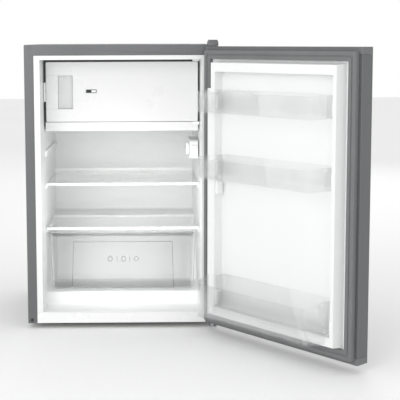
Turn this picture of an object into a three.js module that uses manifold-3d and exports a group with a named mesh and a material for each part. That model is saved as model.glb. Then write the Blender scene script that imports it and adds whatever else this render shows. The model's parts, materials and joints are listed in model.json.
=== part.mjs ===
// A table-top refrigerator with an icebox behind a side-hung flap, its door open at 130 degrees.
// Millimetres, +Z up. The cabinet's front is the plane Y = 0, its back is at +Y, and X = 0 is its middle.
// Heights are measured from the underside of the body. The feet and the last lines carry that to the floor.
import * as THREE from "three";
import { mergeVertices } from "three/addons/utils/BufferGeometryUtils.js";
import Module from "manifold-3d";

const wasm = await Module();
wasm.setup();

// ---------------------------------------------------------------- driving dimensions
const WIDTH = 560; // cabinet and door
const BODY_HEIGHT = 822; // body without its feet
const CASE_DEPTH = 500; // steel case, front to back
const FOOT_HEIGHT = 15;
const GAP = 0.3; // between pieces that touch

const SHEET = 1.5; // steel case and back
const SIDE_STRIP = 27; // front face of the case, each side
const TOP_STRIP = 31;
const CORNER_R = 4;

const LINER_WALL = 2;
const LIP = 18; // liner's front rim, each side
const TOP_LIP = 13;
const SILL_HEIGHT = 34;
const FLOOR_HEIGHT = 72; // raised floor inside
const STEP_DEPTH = 95; // where the floor rises
const HUMP_HEIGHT = 268; // top of the step over the compressor
const HUMP_TOP_Y = 316;
const HUMP_FOOT_Y = 240;
const BACK_INSULATION = 56;
const LINER_DRAFT = 6; // the cavity narrows by this much each side at the back
const RAIL = 6; // how far a shelf rail stands out
const RAIL_FRONT = 114;

const BAY_DEPTH = 143; // compressor bay
const BAY_HEIGHT = 242;

const FLAP_Y = 90; // front face of the icebox flap
const FLAP_HEIGHT = 178;
const FLAP_SIDE_GAP = 9.5; // between the flap's free side and the wall at the mouth
const FLAP_HINGE_GAP = 7.5;
const FLAP_DEPTH = 20;
const FLAP_TOP_GAP = 8; // below the ceiling
const FLAP_WALL = 2.5;
const TRIM_HEIGHT = 28; // drip tray's front under the flap
const ICEBOX_DEPTH = 330;

const SHELF_ABOVE_COVER = 136;
const SHELF_DEPTH = 292;
const SHELF_FRONT_Y = 98;
const GLASS = 4;
const SHELF_CLEAR = 4.5; // between a shelf and the side wall

const CRISPER_SIDE_CLEAR = 19; // the drawer's side to the wall at the mouth
const CRISPER_UNDER_COVER = 13; // the drawer's rim to the cover's top
const CRISPER_WALL = 2.4;
const CRISPER_CLEAR = 5; // above the floor

const DOOR_THICK = 44;
const DOOR_BELOW_TOP = 6; // the door's top edge is this far under the top of the body
const DOOR_ABOVE_BOTTOM = 9;
const DOOR_GAP = 14; // closed door's inner face to the cabinet's front
const PIVOT_FROM_SIDE = 15.4;
const PIVOT_FROM_FRONT = (DOOR_THICK + DOOR_GAP) / 2 + 1; // lets the open door's edge clear the case
const DOOR_OPEN = THREE.MathUtils.degToRad(130);
const CAP_HEIGHT = 18;
const GASKET_THICK = 11;
const GASKET_WIDTH = 24;
const GASKET_EDGE = 9.3; // from the door's edge, so that it clears the case as the door swings
const GASKET_SKIRT = 1; // its outer skirt hides the liner's edge
const DYKE_RISE = 36; // ridge round the door's inside
const DYKE_EDGE = 46.5; // from the door's edge to the ridge
const DYKE_TOP_WIDTH = 25;
const DYKE_FREE_WIDTH = 11; // the ridge is narrower along the free side
const BIN_REACH = 58; // how far a door bin stands out past the ridge
const BIN_WALL = 2.4;
const PIN_R = 4;
const HINGE_PLATE = 3;

// ---------------------------------------------------------------- helpers
// A closed geometry as a solid, turned to face outwards.
function solidOf(geometry) {
  const bare = geometry.clone();
  bare.deleteAttribute("normal");
  bare.deleteAttribute("uv");
  const merged = mergeVertices(bare, 1e-4);
  const mesh = () =>
    new wasm.Mesh({
      numProp: 3,
      vertProperties: merged.attributes.position.array,
      triVerts: new Uint32Array(merged.index.array),
    });
  const solid = new wasm.Manifold(mesh());
  if (solid.volume() > 0) return solid;
  const index = merged.index.array;
  for (let i = 0; i < index.length; i += 3) [index[i + 1], index[i + 2]] = [index[i + 2], index[i + 1]];
  return new wasm.Manifold(mesh());
}

function geometryOf(solid) {
  const mesh = solid.getMesh();
  const geometry = new THREE.BufferGeometry();
  geometry.setAttribute("position", new THREE.BufferAttribute(new Float32Array(mesh.vertProperties), 3));
  geometry.setIndex(new THREE.BufferAttribute(new Uint32Array(mesh.triVerts), 1));
  return geometry;
}

function join(...geometries) {
  const [first, ...rest] = geometries.map(solidOf);
  return geometryOf(rest.reduce((sum, next) => sum.add(next), first));
}

function cut(base, ...tools) {
  return geometryOf(tools.map(solidOf).reduce((left, tool) => left.subtract(tool), solidOf(base)));
}

// A box between two values on each axis.
function block([x0, x1], [y0, y1], [z0, z1]) {
  const box = new THREE.BoxGeometry(x1 - x0, y1 - y0, z1 - z0);
  return box.translate((x0 + x1) / 2, (y0 + y1) / 2, (z0 + z1) / 2);
}

// A closed outline from corner points, each corner with its own radius (0 is sharp).
function outline(points, radius = 0) {
  const shape = new THREE.Shape();
  const count = points.length;
  points.forEach(([x, y, r = radius], i) => {
    const here = new THREE.Vector2(x, y);
    const before = new THREE.Vector2(...points[(i + count - 1) % count].slice(0, 2));
    const after = new THREE.Vector2(...points[(i + 1) % count].slice(0, 2));
    const start = before.clone().sub(here).setLength(r).add(here);
    const end = after.clone().sub(here).setLength(r).add(here);
    if (i === 0) shape.moveTo(start.x, start.y);
    else shape.lineTo(start.x, start.y);
    if (r > 0) shape.quadraticCurveTo(here.x, here.y, end.x, end.y);
  });
  shape.closePath();
  return shape;
}

const rectangle = ([x0, x1], [y0, y1], radius = 0) =>
  outline([[x0, y0], [x1, y0], [x1, y1], [x0, y1]], radius);

const extrude = (shape, depth, curveSegments = 4) =>
  new THREE.ExtrudeGeometry(shape, { depth, bevelEnabled: false, curveSegments });

// Outlines drawn in Y and Z, in X and Z, and in X and Y, run along the third axis.
function alongX(shape, [x0, x1], segments) {
  const axes = new THREE.Matrix4().set(0, 0, 1, x0, 1, 0, 0, 0, 0, 1, 0, 0, 0, 0, 0, 1);
  return extrude(shape, x1 - x0, segments).applyMatrix4(axes);
}

function alongY(shape, [y0, y1], segments) {
  const axes = new THREE.Matrix4().set(1, 0, 0, 0, 0, 0, -1, y1, 0, 1, 0, 0, 0, 0, 0, 1);
  return extrude(shape, y1 - y0, segments).applyMatrix4(axes);
}

const alongZ = (shape, [z0, z1], segments) => extrude(shape, z1 - z0, segments).translate(0, 0, z0);

// A corner list moved outwards by a distance (inwards when it is negative); corners run anticlockwise.
function grown(points, distance) {
  const count = points.length;
  return points.map(([x, y, r = 0], i) => {
    const [bx, by] = points[(i + count - 1) % count];
    const [ax, ay] = points[(i + 1) % count];
    const first = new THREE.Vector2(y - by, bx - x).normalize();
    const second = new THREE.Vector2(ay - y, x - ax).normalize();
    const scale = distance / (1 + first.dot(second));
    return [x + (first.x + second.x) * scale, y + (first.y + second.y) * scale, r];
  });
}

// A bent sheet: the path is one face, and the thickness lies to its left.
function bentSheet(path, thickness) {
  const left = path.map(([x, y], i) => {
    const [bx, by] = path[Math.max(i - 1, 0)];
    const [ax, ay] = path[Math.min(i + 1, path.length - 1)];
    const ahead = new THREE.Vector2(ax - x, ay - y);
    const behind = new THREE.Vector2(x - bx, y - by);
    if (i === 0) behind.copy(ahead);
    if (i === path.length - 1) ahead.copy(behind);
    ahead.normalize();
    behind.normalize();
    const scale = thickness / (1 + ahead.dot(behind));
    return [x - (ahead.y + behind.y) * scale, y + (ahead.x + behind.x) * scale];
  });
  return outline([...path, ...left.reverse()]);
}

// A block whose far face is another size: rect = [[x0, x1], [z0, z1]] at each of two depths y.
function taper([[ax0, ax1], [az0, az1]], ay, [[bx0, bx1], [bz0, bz1]], by) {
  const box = new THREE.BoxGeometry(2, 2, 2);
  const place = box.attributes.position;
  for (let i = 0; i < place.count; i++) {
    const near = place.getY(i) < 0;
    const x = place.getX(i) < 0 ? (near ? ax0 : bx0) : near ? ax1 : bx1;
    const z = place.getZ(i) < 0 ? (near ? az0 : bz0) : near ? az1 : bz1;
    place.setXYZ(i, x, near ? ay : by, z);
  }
  return box;
}

// A turned piece about the Z axis, from [radius, height] points.
function turned(points, segments = 24) {
  const profile = points.map(([r, z]) => new THREE.Vector2(r, z));
  return new THREE.LatheGeometry(profile, segments).rotateX(Math.PI / 2);
}

const disc = (radius, [z0, z1], segments = 24) =>
  turned([[0, z0], [radius, z0], [radius, z1], [0, z1]], segments);

// A round bar of a given radius along a smooth or cornered path of points.
function rod(curve, radius, steps, sides = 8) {
  const section = new THREE.Shape();
  for (let i = 0; i < sides; i++) {
    const turn = (i / sides) * 2 * Math.PI;
    const [x, y] = [radius * Math.cos(turn), radius * Math.sin(turn)];
    if (i === 0) section.moveTo(x, y);
    else section.lineTo(x, y);
  }
  section.closePath();
  return new THREE.ExtrudeGeometry(section, { steps, extrudePath: curve, bevelEnabled: false });
}

const smooth = (points) =>
  new THREE.CatmullRomCurve3(points.map((p) => new THREE.Vector3(...p)), false, "catmullrom", 0.5);

// ---------------------------------------------------------------- finishes and groups
const finish = (color, roughness, metalness = 0, opacity = 1) =>
  new THREE.MeshStandardMaterial({ color, roughness, metalness, opacity, transparent: opacity < 1 });

const GREY_STEEL = () => finish(0x83878a, 0.38, 0.55);
const CAP_GREY = () => finish(0x74787b, 0.5);
const WHITE_LINER = () => finish(0xf1f3f2, 0.42);
const WHITE_PLASTIC = () => finish(0xf6f7f6, 0.35);
const DARK_PLASTIC = () => finish(0x5c5f61, 0.55);
const GASKET_GREY = () => finish(0x888c8e, 0.7);
const CLEAR_PLASTIC = () => finish(0xe9f0f0, 0.12, 0, 0.35);
const CLEAR_GLASS = () => finish(0xdcebe6, 0.05, 0, 0.3);
const FOAM = () => finish(0xe9dfb4, 0.95);
const BARE_STEEL = () => finish(0xa9adb0, 0.35, 0.9);
const ALUMINIUM = () => finish(0xc9cccd, 0.4, 0.85);
const BLACK_PAINT = () => finish(0x1c1d1f, 0.5, 0.3);
const BLACK_RUBBER = () => finish(0x1f2021, 0.85);
const COPPER = () => finish(0xb36a3c, 0.35, 0.9);

const cabinet = new THREE.Group();
const door = new THREE.Group();
const flap = new THREE.Group();
cabinet.add(door, flap);

function add(group, name, geometry, material) {
  const mesh = new THREE.Mesh(geometry, material);
  mesh.name = name;
  group.add(mesh);
  return mesh;
}

// ---------------------------------------------------------------- worked-out sizes of the cabinet
const HALF = WIDTH / 2;
const OPEN_HALF = HALF - SIDE_STRIP - LIP; // half the width of the mouth
const CEILING = BODY_HEIGHT - TOP_STRIP - TOP_LIP;
const LINER_BACK = CASE_DEPTH - BACK_INSULATION;
const BAY_FRONT = CASE_DEPTH - BAY_DEPTH;
const halfAt = (y) => OPEN_HALF - (LINER_DRAFT * y) / LINER_BACK; // inside half-width at a depth

// Side view of the inside, as [depth, height].
const CAVITY = [
  [0, SILL_HEIGHT],
  [STEP_DEPTH - 10, SILL_HEIGHT, 4],
  [STEP_DEPTH, FLOOR_HEIGHT, 5],
  [HUMP_FOOT_Y, FLOOR_HEIGHT, 10],
  [HUMP_TOP_Y, HUMP_HEIGHT, 8],
  [LINER_BACK, HUMP_HEIGHT, 12],
  [LINER_BACK, CEILING, 12],
  [0, CEILING],
];

// The inside as a solid, grown by a wall, with its sides narrowing towards the back.
function cavity(grow, front) {
  const points = grown(CAVITY, grow).map(([y, z, r]) => [y <= 0 ? front : y, z, r]);
  const body = alongX(outline(points), [-1, 1], 3);
  const place = body.attributes.position;
  for (let i = 0; i < place.count; i++) {
    place.setX(i, place.getX(i) * (halfAt(place.getY(i)) + grow));
  }
  return body;
}

// ---------------------------------------------------------------- steel case and insulation
function outerCase() {
  const skin = alongY(
    outline([[-HALF, 0], [HALF, 0], [HALF, BODY_HEIGHT, CORNER_R], [-HALF, BODY_HEIGHT, CORNER_R]]),
    [0, CASE_DEPTH],
  );
  const inside = block([-HALF + SHEET, HALF - SHEET], [SHEET, CASE_DEPTH + 1], [-1, BODY_HEIGHT - SHEET]);
  const mouthHalf = HALF - SIDE_STRIP;
  const mouth = block([-mouthHalf, mouthHalf], [-1, SHEET + 1], [-1, BODY_HEIGHT - TOP_STRIP]);
  const plugHoles = FRONT_PLUGS.map(([x, z]) => frontDisc(PLUG_R + GAP, [-1, SHEET + 1], x, z));
  return cut(skin, inside, mouth, ...plugHoles);
}

// A short cylinder that lies along Y at a place on the front.
function frontDisc(radius, [y0, y1], x, z, segments = 16) {
  return disc(radius, [-y1, -y0], segments).rotateX(Math.PI / 2).translate(x, 0, z);
}

const PLUG_R = 3.2;
const PLUG_HEAD_R = 5;
const PLUG_INSET = 12; // from the case's edges
const FRONT_PLUGS = [
  [-HALF + PLUG_INSET + 3, BODY_HEIGHT - PLUG_INSET + 3.8],
  [-HALF + PLUG_INSET, PLUG_INSET - 2],
];

function frontPlug([x, z]) {
  const head = frontDisc(PLUG_HEAD_R, [-1.4, -GAP], x, z, 20);
  return join(head, frontDisc(PLUG_R, [-1, SHEET + LINER_WALL - GAP], x, z));
}

const FOAM_TOP = BODY_HEIGHT - SHEET - GAP;

function insulation() {
  const side = HALF - SHEET - GAP;
  const back = CASE_DEPTH - SHEET - 2 * GAP;
  const bayFront = BAY_FRONT - GAP - SHEET;
  const bayTop = BAY_HEIGHT + SHEET + GAP;
  const front = SHEET + LINER_WALL + GAP;
  const low = SHEET + GAP;
  const rise = PLINTH_DEPTH + GAP;
  const view = [
    [rise, low], [bayFront, low], [bayFront, bayTop], [back, bayTop],
    [back, FOAM_TOP], [front, FOAM_TOP],
    [front, SILL_HEIGHT - LINER_WALL], [rise, SILL_HEIGHT - LINER_WALL],
  ];
  return cut(alongX(outline(view), [-side, side]), cavity(LINER_WALL + GAP, -1));
}

function innerLiner() {
  const rimHalf = HALF - SIDE_STRIP - GAP;
  const rimTop = BODY_HEIGHT - TOP_STRIP - GAP;
  const rim = block([-rimHalf, rimHalf], [0, LINER_WALL], [SILL_HEIGHT - LINER_WALL, rimTop]);
  const shell = cut(join(cavity(LINER_WALL, 0), rim), cavity(0, -1));
  const rails = [];
  for (const side of [-1, 1]) {
    for (const [low, high, back, sides] of RAILS) {
      if (sides.includes(side)) rails.push(rail(side, low, high, back));
    }
  }
  return join(shell, ...rails);
}

const COVER_TOP = HUMP_HEIGHT; // the crisper's cover lies level with the step
const SHELF_HEIGHT = COVER_TOP + SHELF_ABOVE_COVER;
const RAIL_DROP = 14; // height of a shelf rail
const SHELF_UNDER = SHELF_HEIGHT - GLASS - 1;
const COVER_UNDER = COVER_TOP - GLASS - 1;
const SPARE_RAIL = SHELF_HEIGHT + 78;
const RAILS = [
  [SPARE_RAIL, SPARE_RAIL + 21, LINER_BACK - 20, [-1]], // the lamp's housing takes the other side
  [SHELF_UNDER - RAIL_DROP, SHELF_UNDER - GAP, LINER_BACK - 20, [-1, 1]],
  [COVER_UNDER - RAIL_DROP, COVER_UNDER - GAP, HUMP_TOP_Y - 12, [-1, 1]],
];

// A rail on one side wall: it leans with the wall, and its underside slopes.
function rail(side, low, high, back) {
  const slope = RAIL * 0.8;
  const section = (y) => {
    const wall = halfAt(y) + LINER_WALL / 2;
    return [wall, halfAt(y) - RAIL];
  };
  const [wallFront, innerFront] = section(RAIL_FRONT);
  const [wallBack, innerBack] = section(back);
  const corners = [
    [wallFront, RAIL_FRONT, low], [innerFront, RAIL_FRONT, low + slope], [innerFront, RAIL_FRONT, high],
    [wallFront, RAIL_FRONT, high], [wallBack, back, low], [innerBack, back, low + slope],
    [innerBack, back, high], [wallBack, back, high],
  ].map(([x, y, z]) => [side * x, y, z]);
  return hexahedron(corners);
}

// A six-faced solid from eight corners: four round one end, then the four that match them.
function hexahedron(corners) {
  const faces = [[0, 1, 2, 3], [7, 6, 5, 4], [0, 4, 5, 1], [1, 5, 6, 2], [2, 6, 7, 3], [3, 7, 4, 0]];
  const geometry = new THREE.BufferGeometry();
  geometry.setAttribute("position", new THREE.Float32BufferAttribute(corners.flat(), 3));
  geometry.setIndex(faces.flatMap(([a, b, c, d]) => [a, b, c, a, c, d]));
  return geometry;
}

add(cabinet, "outer_case", outerCase(), GREY_STEEL());
add(cabinet, "top_left_plug", frontPlug(FRONT_PLUGS[0]), CAP_GREY());
add(cabinet, "bottom_left_plug", frontPlug(FRONT_PLUGS[1]), CAP_GREY());

// ---------------------------------------------------------------- plinth, base and back
const PLINTH_DEPTH = 18;
const PLINTH_WALL = 2.5;

function plinth() {
  const half = HALF - SIDE_STRIP - GAP;
  const top = SILL_HEIGHT - LINER_WALL - GAP;
  const view = outline([[0, 0, 2], [PLINTH_DEPTH, 0], [PLINTH_DEPTH, top], [0, top, 2]]);
  const hollow = block(
    [-half + PLINTH_WALL, half - PLINTH_WALL], [PLINTH_WALL, PLINTH_DEPTH + 1], [-1, top - PLINTH_WALL],
  );
  return cut(alongX(view, [-half, half]), hollow);
}

// One folded sheet: the floor under the foam, the wall in front of the compressor and the roof over it.
function baseSheet() {
  const half = HALF - SHEET - GAP;
  const path = [
    [PLINTH_DEPTH + GAP, 0],
    [BAY_FRONT, 0],
    [BAY_FRONT, BAY_HEIGHT],
    [CASE_DEPTH - SHEET - GAP, BAY_HEIGHT],
  ];
  return alongX(bentSheet(path, SHEET), [-half, half]);
}

function backPanel() {
  const half = HALF - SHEET - GAP;
  const low = BAY_HEIGHT + SHEET + GAP;
  return block([-half, half], [CASE_DEPTH - SHEET, CASE_DEPTH], [low, FOAM_TOP]);
}

const RAIL_PLATE = 2;
const COMPRESSOR_Y = BAY_FRONT + BAY_DEPTH / 2 + 2;
const COMPRESSOR_R = 62;
const COMPRESSOR_X = 70;
const MOUNT_SPREAD = [82, 44]; // half distances between the compressor's rubber mounts
const MOUNT_HEIGHT = 14;

// The channel that crosses the bay from side to side and carries the compressor.
function compressorRail() {
  const half = HALF - SHEET - GAP;
  const [front, back] = [BAY_FRONT + 8, CASE_DEPTH - 6];
  const lip = 12;
  const channel = bentSheet([[front, lip], [front, 0], [back, 0], [back, lip]], RAIL_PLATE);
  return alongX(channel, [-half, half]);
}

// A welded steel pot with a seam round its middle, on a foot plate.
function compressor() {
  const plateLow = RAIL_PLATE + MOUNT_HEIGHT + 2 * GAP;
  const low = plateLow + 2;
  const r = COMPRESSOR_R;
  const height = 148;
  const seam = low + height * 0.52;
  const profile = [
    [0, low], [r * 0.6, low], [r * 0.88, low + 12], [r, low + 32], [r, seam - 3], [r + 4, seam - 3],
    [r + 4, seam + 3], [r, seam + 3], [r * 0.99, low + height - 42], [r * 0.9, low + height - 20],
    [r * 0.62, low + height - 6], [r * 0.25, low + height], [0, low + height],
  ];
  const pot = turned(profile, 28).scale(1.22, 1, 1).translate(COMPRESSOR_X, COMPRESSOR_Y, 0);
  const [sx, sy] = MOUNT_SPREAD;
  const plate = alongZ(rectangle([-sx - 14, sx + 14], [-sy - 12, sy + 12], 10), [plateLow, low + 1]);
  return join(pot, plate.translate(COMPRESSOR_X, COMPRESSOR_Y, 0));
}

// The plastic box over the compressor's terminals and starter, on its side.
function terminalCover() {
  const x0 = COMPRESSOR_X + COMPRESSOR_R * 1.22 + 4 * 1.22 + GAP + 1;
  const view = rectangle([COMPRESSOR_Y - 32, COMPRESSOR_Y + 32], [52, 118], 8);
  return alongX(view, [x0, x0 + 38]);
}

// Water from the inside drips into a tray that the compressor keeps warm.
const TRAY_LOW = 176;
const TRAY_HEIGHT = 26;
const TRAY_WALL = 2;
const TRAY_HALF = 76;

function dripTray() {
  const [front, back] = [BAY_FRONT + SHEET + 4, CASE_DEPTH - 8];
  const outer = alongZ(
    rectangle([COMPRESSOR_X - TRAY_HALF, COMPRESSOR_X + TRAY_HALF], [front, back], 10),
    [TRAY_LOW, TRAY_LOW + TRAY_HEIGHT],
  );
  const inner = alongZ(
    rectangle(
      [COMPRESSOR_X - TRAY_HALF + TRAY_WALL, COMPRESSOR_X + TRAY_HALF - TRAY_WALL],
      [front + TRAY_WALL, back - TRAY_WALL],
      8,
    ),
    [TRAY_LOW + TRAY_WALL, TRAY_LOW + TRAY_HEIGHT + 1],
  );
  return cut(outer, inner);
}

// The condenser: one tube that winds down the back, held off it by two straps.
const COIL_R = 2.5;
const COIL_OFF_BACK = 16;
const COIL_TURNS = 9;
const COIL_HALF = HALF - 58;
const COIL_LOW = BAY_HEIGHT + 34;
const COIL_HIGH = BODY_HEIGHT - 50;
const COIL_Y = CASE_DEPTH + COIL_OFF_BACK;

function condenserPath() {
  const path = new THREE.CurvePath();
  const pitch = (COIL_HIGH - COIL_LOW) / COIL_TURNS;
  const bend = pitch / 2;
  const straight = COIL_HALF - bend;
  for (let i = 0; i <= COIL_TURNS; i++) {
    const side = i % 2 === 0 ? 1 : -1;
    const z = COIL_HIGH - i * pitch;
    const from = new THREE.Vector3(-side * straight, COIL_Y, z);
    const to = new THREE.Vector3(side * straight, COIL_Y, z);
    path.add(new THREE.LineCurve3(from, to));
    if (i === COIL_TURNS) break;
    const round = bend * 0.5523;
    const reach = side * (straight + bend);
    const mid = new THREE.Vector3(reach, COIL_Y, z - bend);
    path.add(new THREE.CubicBezierCurve3(
      to,
      new THREE.Vector3(side * (straight + round), COIL_Y, z),
      new THREE.Vector3(reach, COIL_Y, z - bend + round),
      mid,
    ));
    path.add(new THREE.CubicBezierCurve3(
      mid,
      new THREE.Vector3(reach, COIL_Y, z - bend - round),
      new THREE.Vector3(side * (straight + round), COIL_Y, z - 2 * bend),
      new THREE.Vector3(side * straight, COIL_Y, z - 2 * bend),
    ));
  }
  return path;
}

// Sweeps a round section through a path of lines and bends that lies in one plane parallel to the back.
function planarTube(path, radius, perBend, sides = 8) {
  const points = [];
  for (const curve of path.curves) {
    const steps = curve.isLineCurve3 ? 1 : perBend;
    for (let i = points.length ? 1 : 0; i <= steps; i++) points.push(curve.getPoint(i / steps));
  }
  const across = new THREE.Vector3(0, 1, 0);
  const corners = [];
  const faces = [];
  points.forEach((point, i) => {
    const before = points[Math.max(i - 1, 0)];
    const after = points[Math.min(i + 1, points.length - 1)];
    const outward = after.clone().sub(before).normalize().cross(across);
    for (let k = 0; k < sides; k++) {
      const turn = (2 * Math.PI * (k + 0.5)) / sides;
      const corner = point.clone();
      corner.addScaledVector(outward, radius * Math.cos(turn));
      corner.addScaledVector(across, radius * Math.sin(turn));
      corners.push(corner.x, corner.y, corner.z);
      if (i === 0) continue;
      const [a, b] = [i * sides + k, i * sides + ((k + 1) % sides)];
      faces.push(a - sides, a, b, a - sides, b, b - sides);
    }
  });
  const last = (points.length - 1) * sides;
  for (let k = 1; k < sides - 1; k++) {
    faces.push(0, k, k + 1, last, last + k + 1, last + k);
  }
  const geometry = new THREE.BufferGeometry();
  geometry.setAttribute("position", new THREE.Float32BufferAttribute(corners, 3));
  geometry.setIndex(faces);
  return geometry;
}

function condenser() {
  const straps = [-1, 1].map((side) => {
    const x = side * (COIL_HALF - 70);
    const flat = block(
      [x - 7, x + 7], [COIL_Y + COIL_R - 1, COIL_Y + COIL_R + 1], [COIL_LOW - 14, COIL_HIGH + 14],
    );
    const legs = [COIL_LOW - 14, COIL_HIGH + 8].map((z) =>
      block([x - 7, x + 7], [CASE_DEPTH + GAP, COIL_Y + COIL_R + 1], [z, z + 6]));
    return join(flat, ...legs);
  });
  return join(planarTube(condenserPath(), COIL_R, 4), ...straps);
}

const FILTER_X = -130;

// A copper cylinder with necked ends that dries the refrigerant.
function filterDrier() {
  const profile = [[0, -52], [2.5, -52], [2.5, -40], [9, -32], [9, 32], [2.5, 40], [2.5, 52], [0, 52]];
  return turned(profile, 14).translate(FILTER_X, COMPRESSOR_Y + 30, 150);
}

// Pipes between the pot, the condenser, the drier and the evaporator.
function suctionPipe() {
  const side = COMPRESSOR_X - COMPRESSOR_R * 1.22 - 6;
  const path = smooth([
    [side, COMPRESSOR_Y, 120], [side - 14, COMPRESSOR_Y, 120], [side - 24, COMPRESSOR_Y - 6, 134],
    [side - 26, COMPRESSOR_Y - 12, 170], [side - 26, COMPRESSOR_Y - 14, BAY_HEIGHT - 4],
  ]);
  return rod(path, 3.5, 16);
}

function dischargePipe() {
  const side = COMPRESSOR_X - COMPRESSOR_R * 1.22 - 6;
  const path = smooth([
    [side, COMPRESSOR_Y + 24, 96], [side - 22, COMPRESSOR_Y + 28, 96], [side - 60, COMPRESSOR_Y + 44, 110],
    [side - 70, COMPRESSOR_Y + 66, 150], [side - 70, COIL_Y, 200],
    [side - 70, COIL_Y, COIL_LOW - COIL_R - 4],
  ]);
  return rod(path, 2.5, 22);
}

// The bush that the mains lead would leave through.
function cordInlet() {
  const x = HALF - 60;
  const z = 28;
  const flange = frontDisc(9, [CASE_DEPTH - 4, CASE_DEPTH], x, z, 20);
  const neck = frontDisc(6, [CASE_DEPTH - 1, CASE_DEPTH + 9], x, z, 20);
  const hole = frontDisc(3.4, [CASE_DEPTH - 20, CASE_DEPTH + 20], x, z, 16);
  const tail = block([x - 9, x + 9], [CASE_DEPTH - 4, CASE_DEPTH - 2], [RAIL_PLATE + GAP, z]);
  return cut(join(flange, neck, tail), hole);
}

add(cabinet, "base_plinth", plinth(), WHITE_PLASTIC());
add(cabinet, "base_sheet", baseSheet(), BARE_STEEL());
add(cabinet, "insulation_foam", insulation(), FOAM());
add(cabinet, "inner_liner", innerLiner(), WHITE_LINER());
add(cabinet, "back_panel", backPanel(), BARE_STEEL());
add(cabinet, "compressor_rail", compressorRail(), BARE_STEEL());
add(cabinet, "compressor", compressor(), BLACK_PAINT());
add(cabinet, "terminal_cover", terminalCover(), DARK_PLASTIC());
add(cabinet, "drip_tray", dripTray(), DARK_PLASTIC());
add(cabinet, "condenser_coil", condenser(), BLACK_PAINT());
add(cabinet, "filter_drier", filterDrier(), COPPER());
add(cabinet, "suction_pipe", suctionPipe(), COPPER());
add(cabinet, "discharge_pipe", dischargePipe(), COPPER());
add(cabinet, "cord_inlet", cordInlet(), BLACK_RUBBER());

// ---------------------------------------------------------------- feet
const FOOT_R = 18;
const FOOT_INSET = 46; // from the side
const FOOT_FRONT_Y = 82;
const FOOT_BACK_Y = CASE_DEPTH - 46;

// A round pad on a screw that enters the base.
function levellingFoot(x, y) {
  const stem = 5;
  const profile = [
    [0, -FOOT_HEIGHT], [FOOT_R - 2, -FOOT_HEIGHT], [FOOT_R, -FOOT_HEIGHT + 2], [FOOT_R, -FOOT_HEIGHT + 7],
    [FOOT_R - 4, -FOOT_HEIGHT + 10], [stem, -FOOT_HEIGHT + 10], [stem, -GAP], [0, -GAP],
  ];
  return turned(profile, 20).translate(x, y, 0);
}

function rearFoot(x, y) {
  const pad = rectangle([x - 16, x + 16], [y - 12, y + 12], 4);
  return alongZ(pad, [-FOOT_HEIGHT, -GAP]);
}

for (const [side, word] of [[-1, "left"], [1, "right"]]) {
  const x = side * (HALF - FOOT_INSET);
  add(cabinet, `front_foot_${word}`, levellingFoot(x, FOOT_FRONT_Y), BLACK_RUBBER());
  add(cabinet, `rear_foot_${word}`, rearFoot(x, FOOT_BACK_Y), BLACK_RUBBER());
}

// ---------------------------------------------------------------- icebox
const FLAP_TOP = CEILING - FLAP_TOP_GAP;
const FLAP_LOW = FLAP_TOP - FLAP_HEIGHT;
const FLAP_LEFT = -OPEN_HALF + FLAP_SIDE_GAP;
const FLAP_RIGHT = OPEN_HALF - FLAP_HINGE_GAP;
const FLAP_BACK = FLAP_Y + FLAP_DEPTH;
const FLAP_PIVOT = [FLAP_RIGHT - 6, FLAP_Y + 9];
const FRAME_HALF = halfAt(FLAP_BACK + 20) - 1;
const TRAY_TOP = FLAP_LOW - GAP - 1;
const TRAY_BASE = TRAY_TOP - TRIM_HEIGHT;

// The dark frame that the flap shuts against; its sides and top show round the flap.
function iceboxFrame() {
  const outer = rectangle([-FRAME_HALF, FRAME_HALF], [TRAY_TOP + GAP, CEILING - 1], 3);
  const frame = alongY(outer, [FLAP_BACK + 1, FLAP_BACK + 10]);
  const mouth = block(
    [-FRAME_HALF + 14, FRAME_HALF - 14], [FLAP_BACK, FLAP_BACK + 12], [TRAY_TOP + 12, CEILING - 14],
  );
  return cut(frame, mouth);
}

// The cold compartment: an aluminium box, open in front.
function evaporator() {
  const half = FRAME_HALF - 6;
  const [front, back] = [FLAP_BACK + 10 + GAP, FLAP_BACK + 10 + ICEBOX_DEPTH - 40];
  const outer = block([-half, half], [front, back], [TRAY_TOP + GAP + 6, CEILING - 6]);
  const wall = 3;
  const inner = block(
    [-half + wall, half - wall], [front - 1, back - wall], [TRAY_TOP + GAP + 6 + wall, CEILING - 6 - wall],
  );
  return cut(outer, inner);
}

// The white tray under the icebox; its front is the band below the flap, notched for the lower arm.
function iceboxTray() {
  const [front, back] = [FLAP_Y + 2, FLAP_BACK + ICEBOX_DEPTH - 24];
  const half = halfAt(back) - 1;
  const wall = 2.5;
  const top = TRAY_TOP;
  const view = outline([[front + 5, TRAY_BASE, 4], [back, TRAY_BASE + 8, 4], [back, top], [front, top, 3]]);
  const ledge = front + wall + 20;
  const inner = outline([
    [front + 5 + wall, TRAY_BASE + wall], [back - wall, TRAY_BASE + 8 + wall],
    [back - wall, top + 8], [ledge, top + 8], [ledge, top - 4], [front + wall, top - 4],
  ]);
  const notch = block(
    [FLAP_PIVOT[0] - 10 - GAP, HALF], [front - 1, FLAP_BACK + 3], [FLAP_LOW - ARM_UNDER - GAP, top + 1],
  );
  return cut(alongX(view, [-half, half]), alongX(inner, [-half + wall, half - wall]), notch);
}

const ARM_UNDER = 10; // the lower arm reaches this far below the flap

const CATCH_LOW = FLAP_LOW + 60;
const CATCH_HIGH = CATCH_LOW + 57;

// The catch that holds the flap shut, in the gap at its free side.
function latchCatch() {
  const x1 = FLAP_LEFT - 1.2;
  const wall = -halfAt(FLAP_Y + 4) + 1;
  const base = block([wall, x1], [FLAP_Y - 2, FLAP_BACK + 1 - GAP], [CATCH_LOW, CATCH_HIGH]);
  return base;
}

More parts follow.
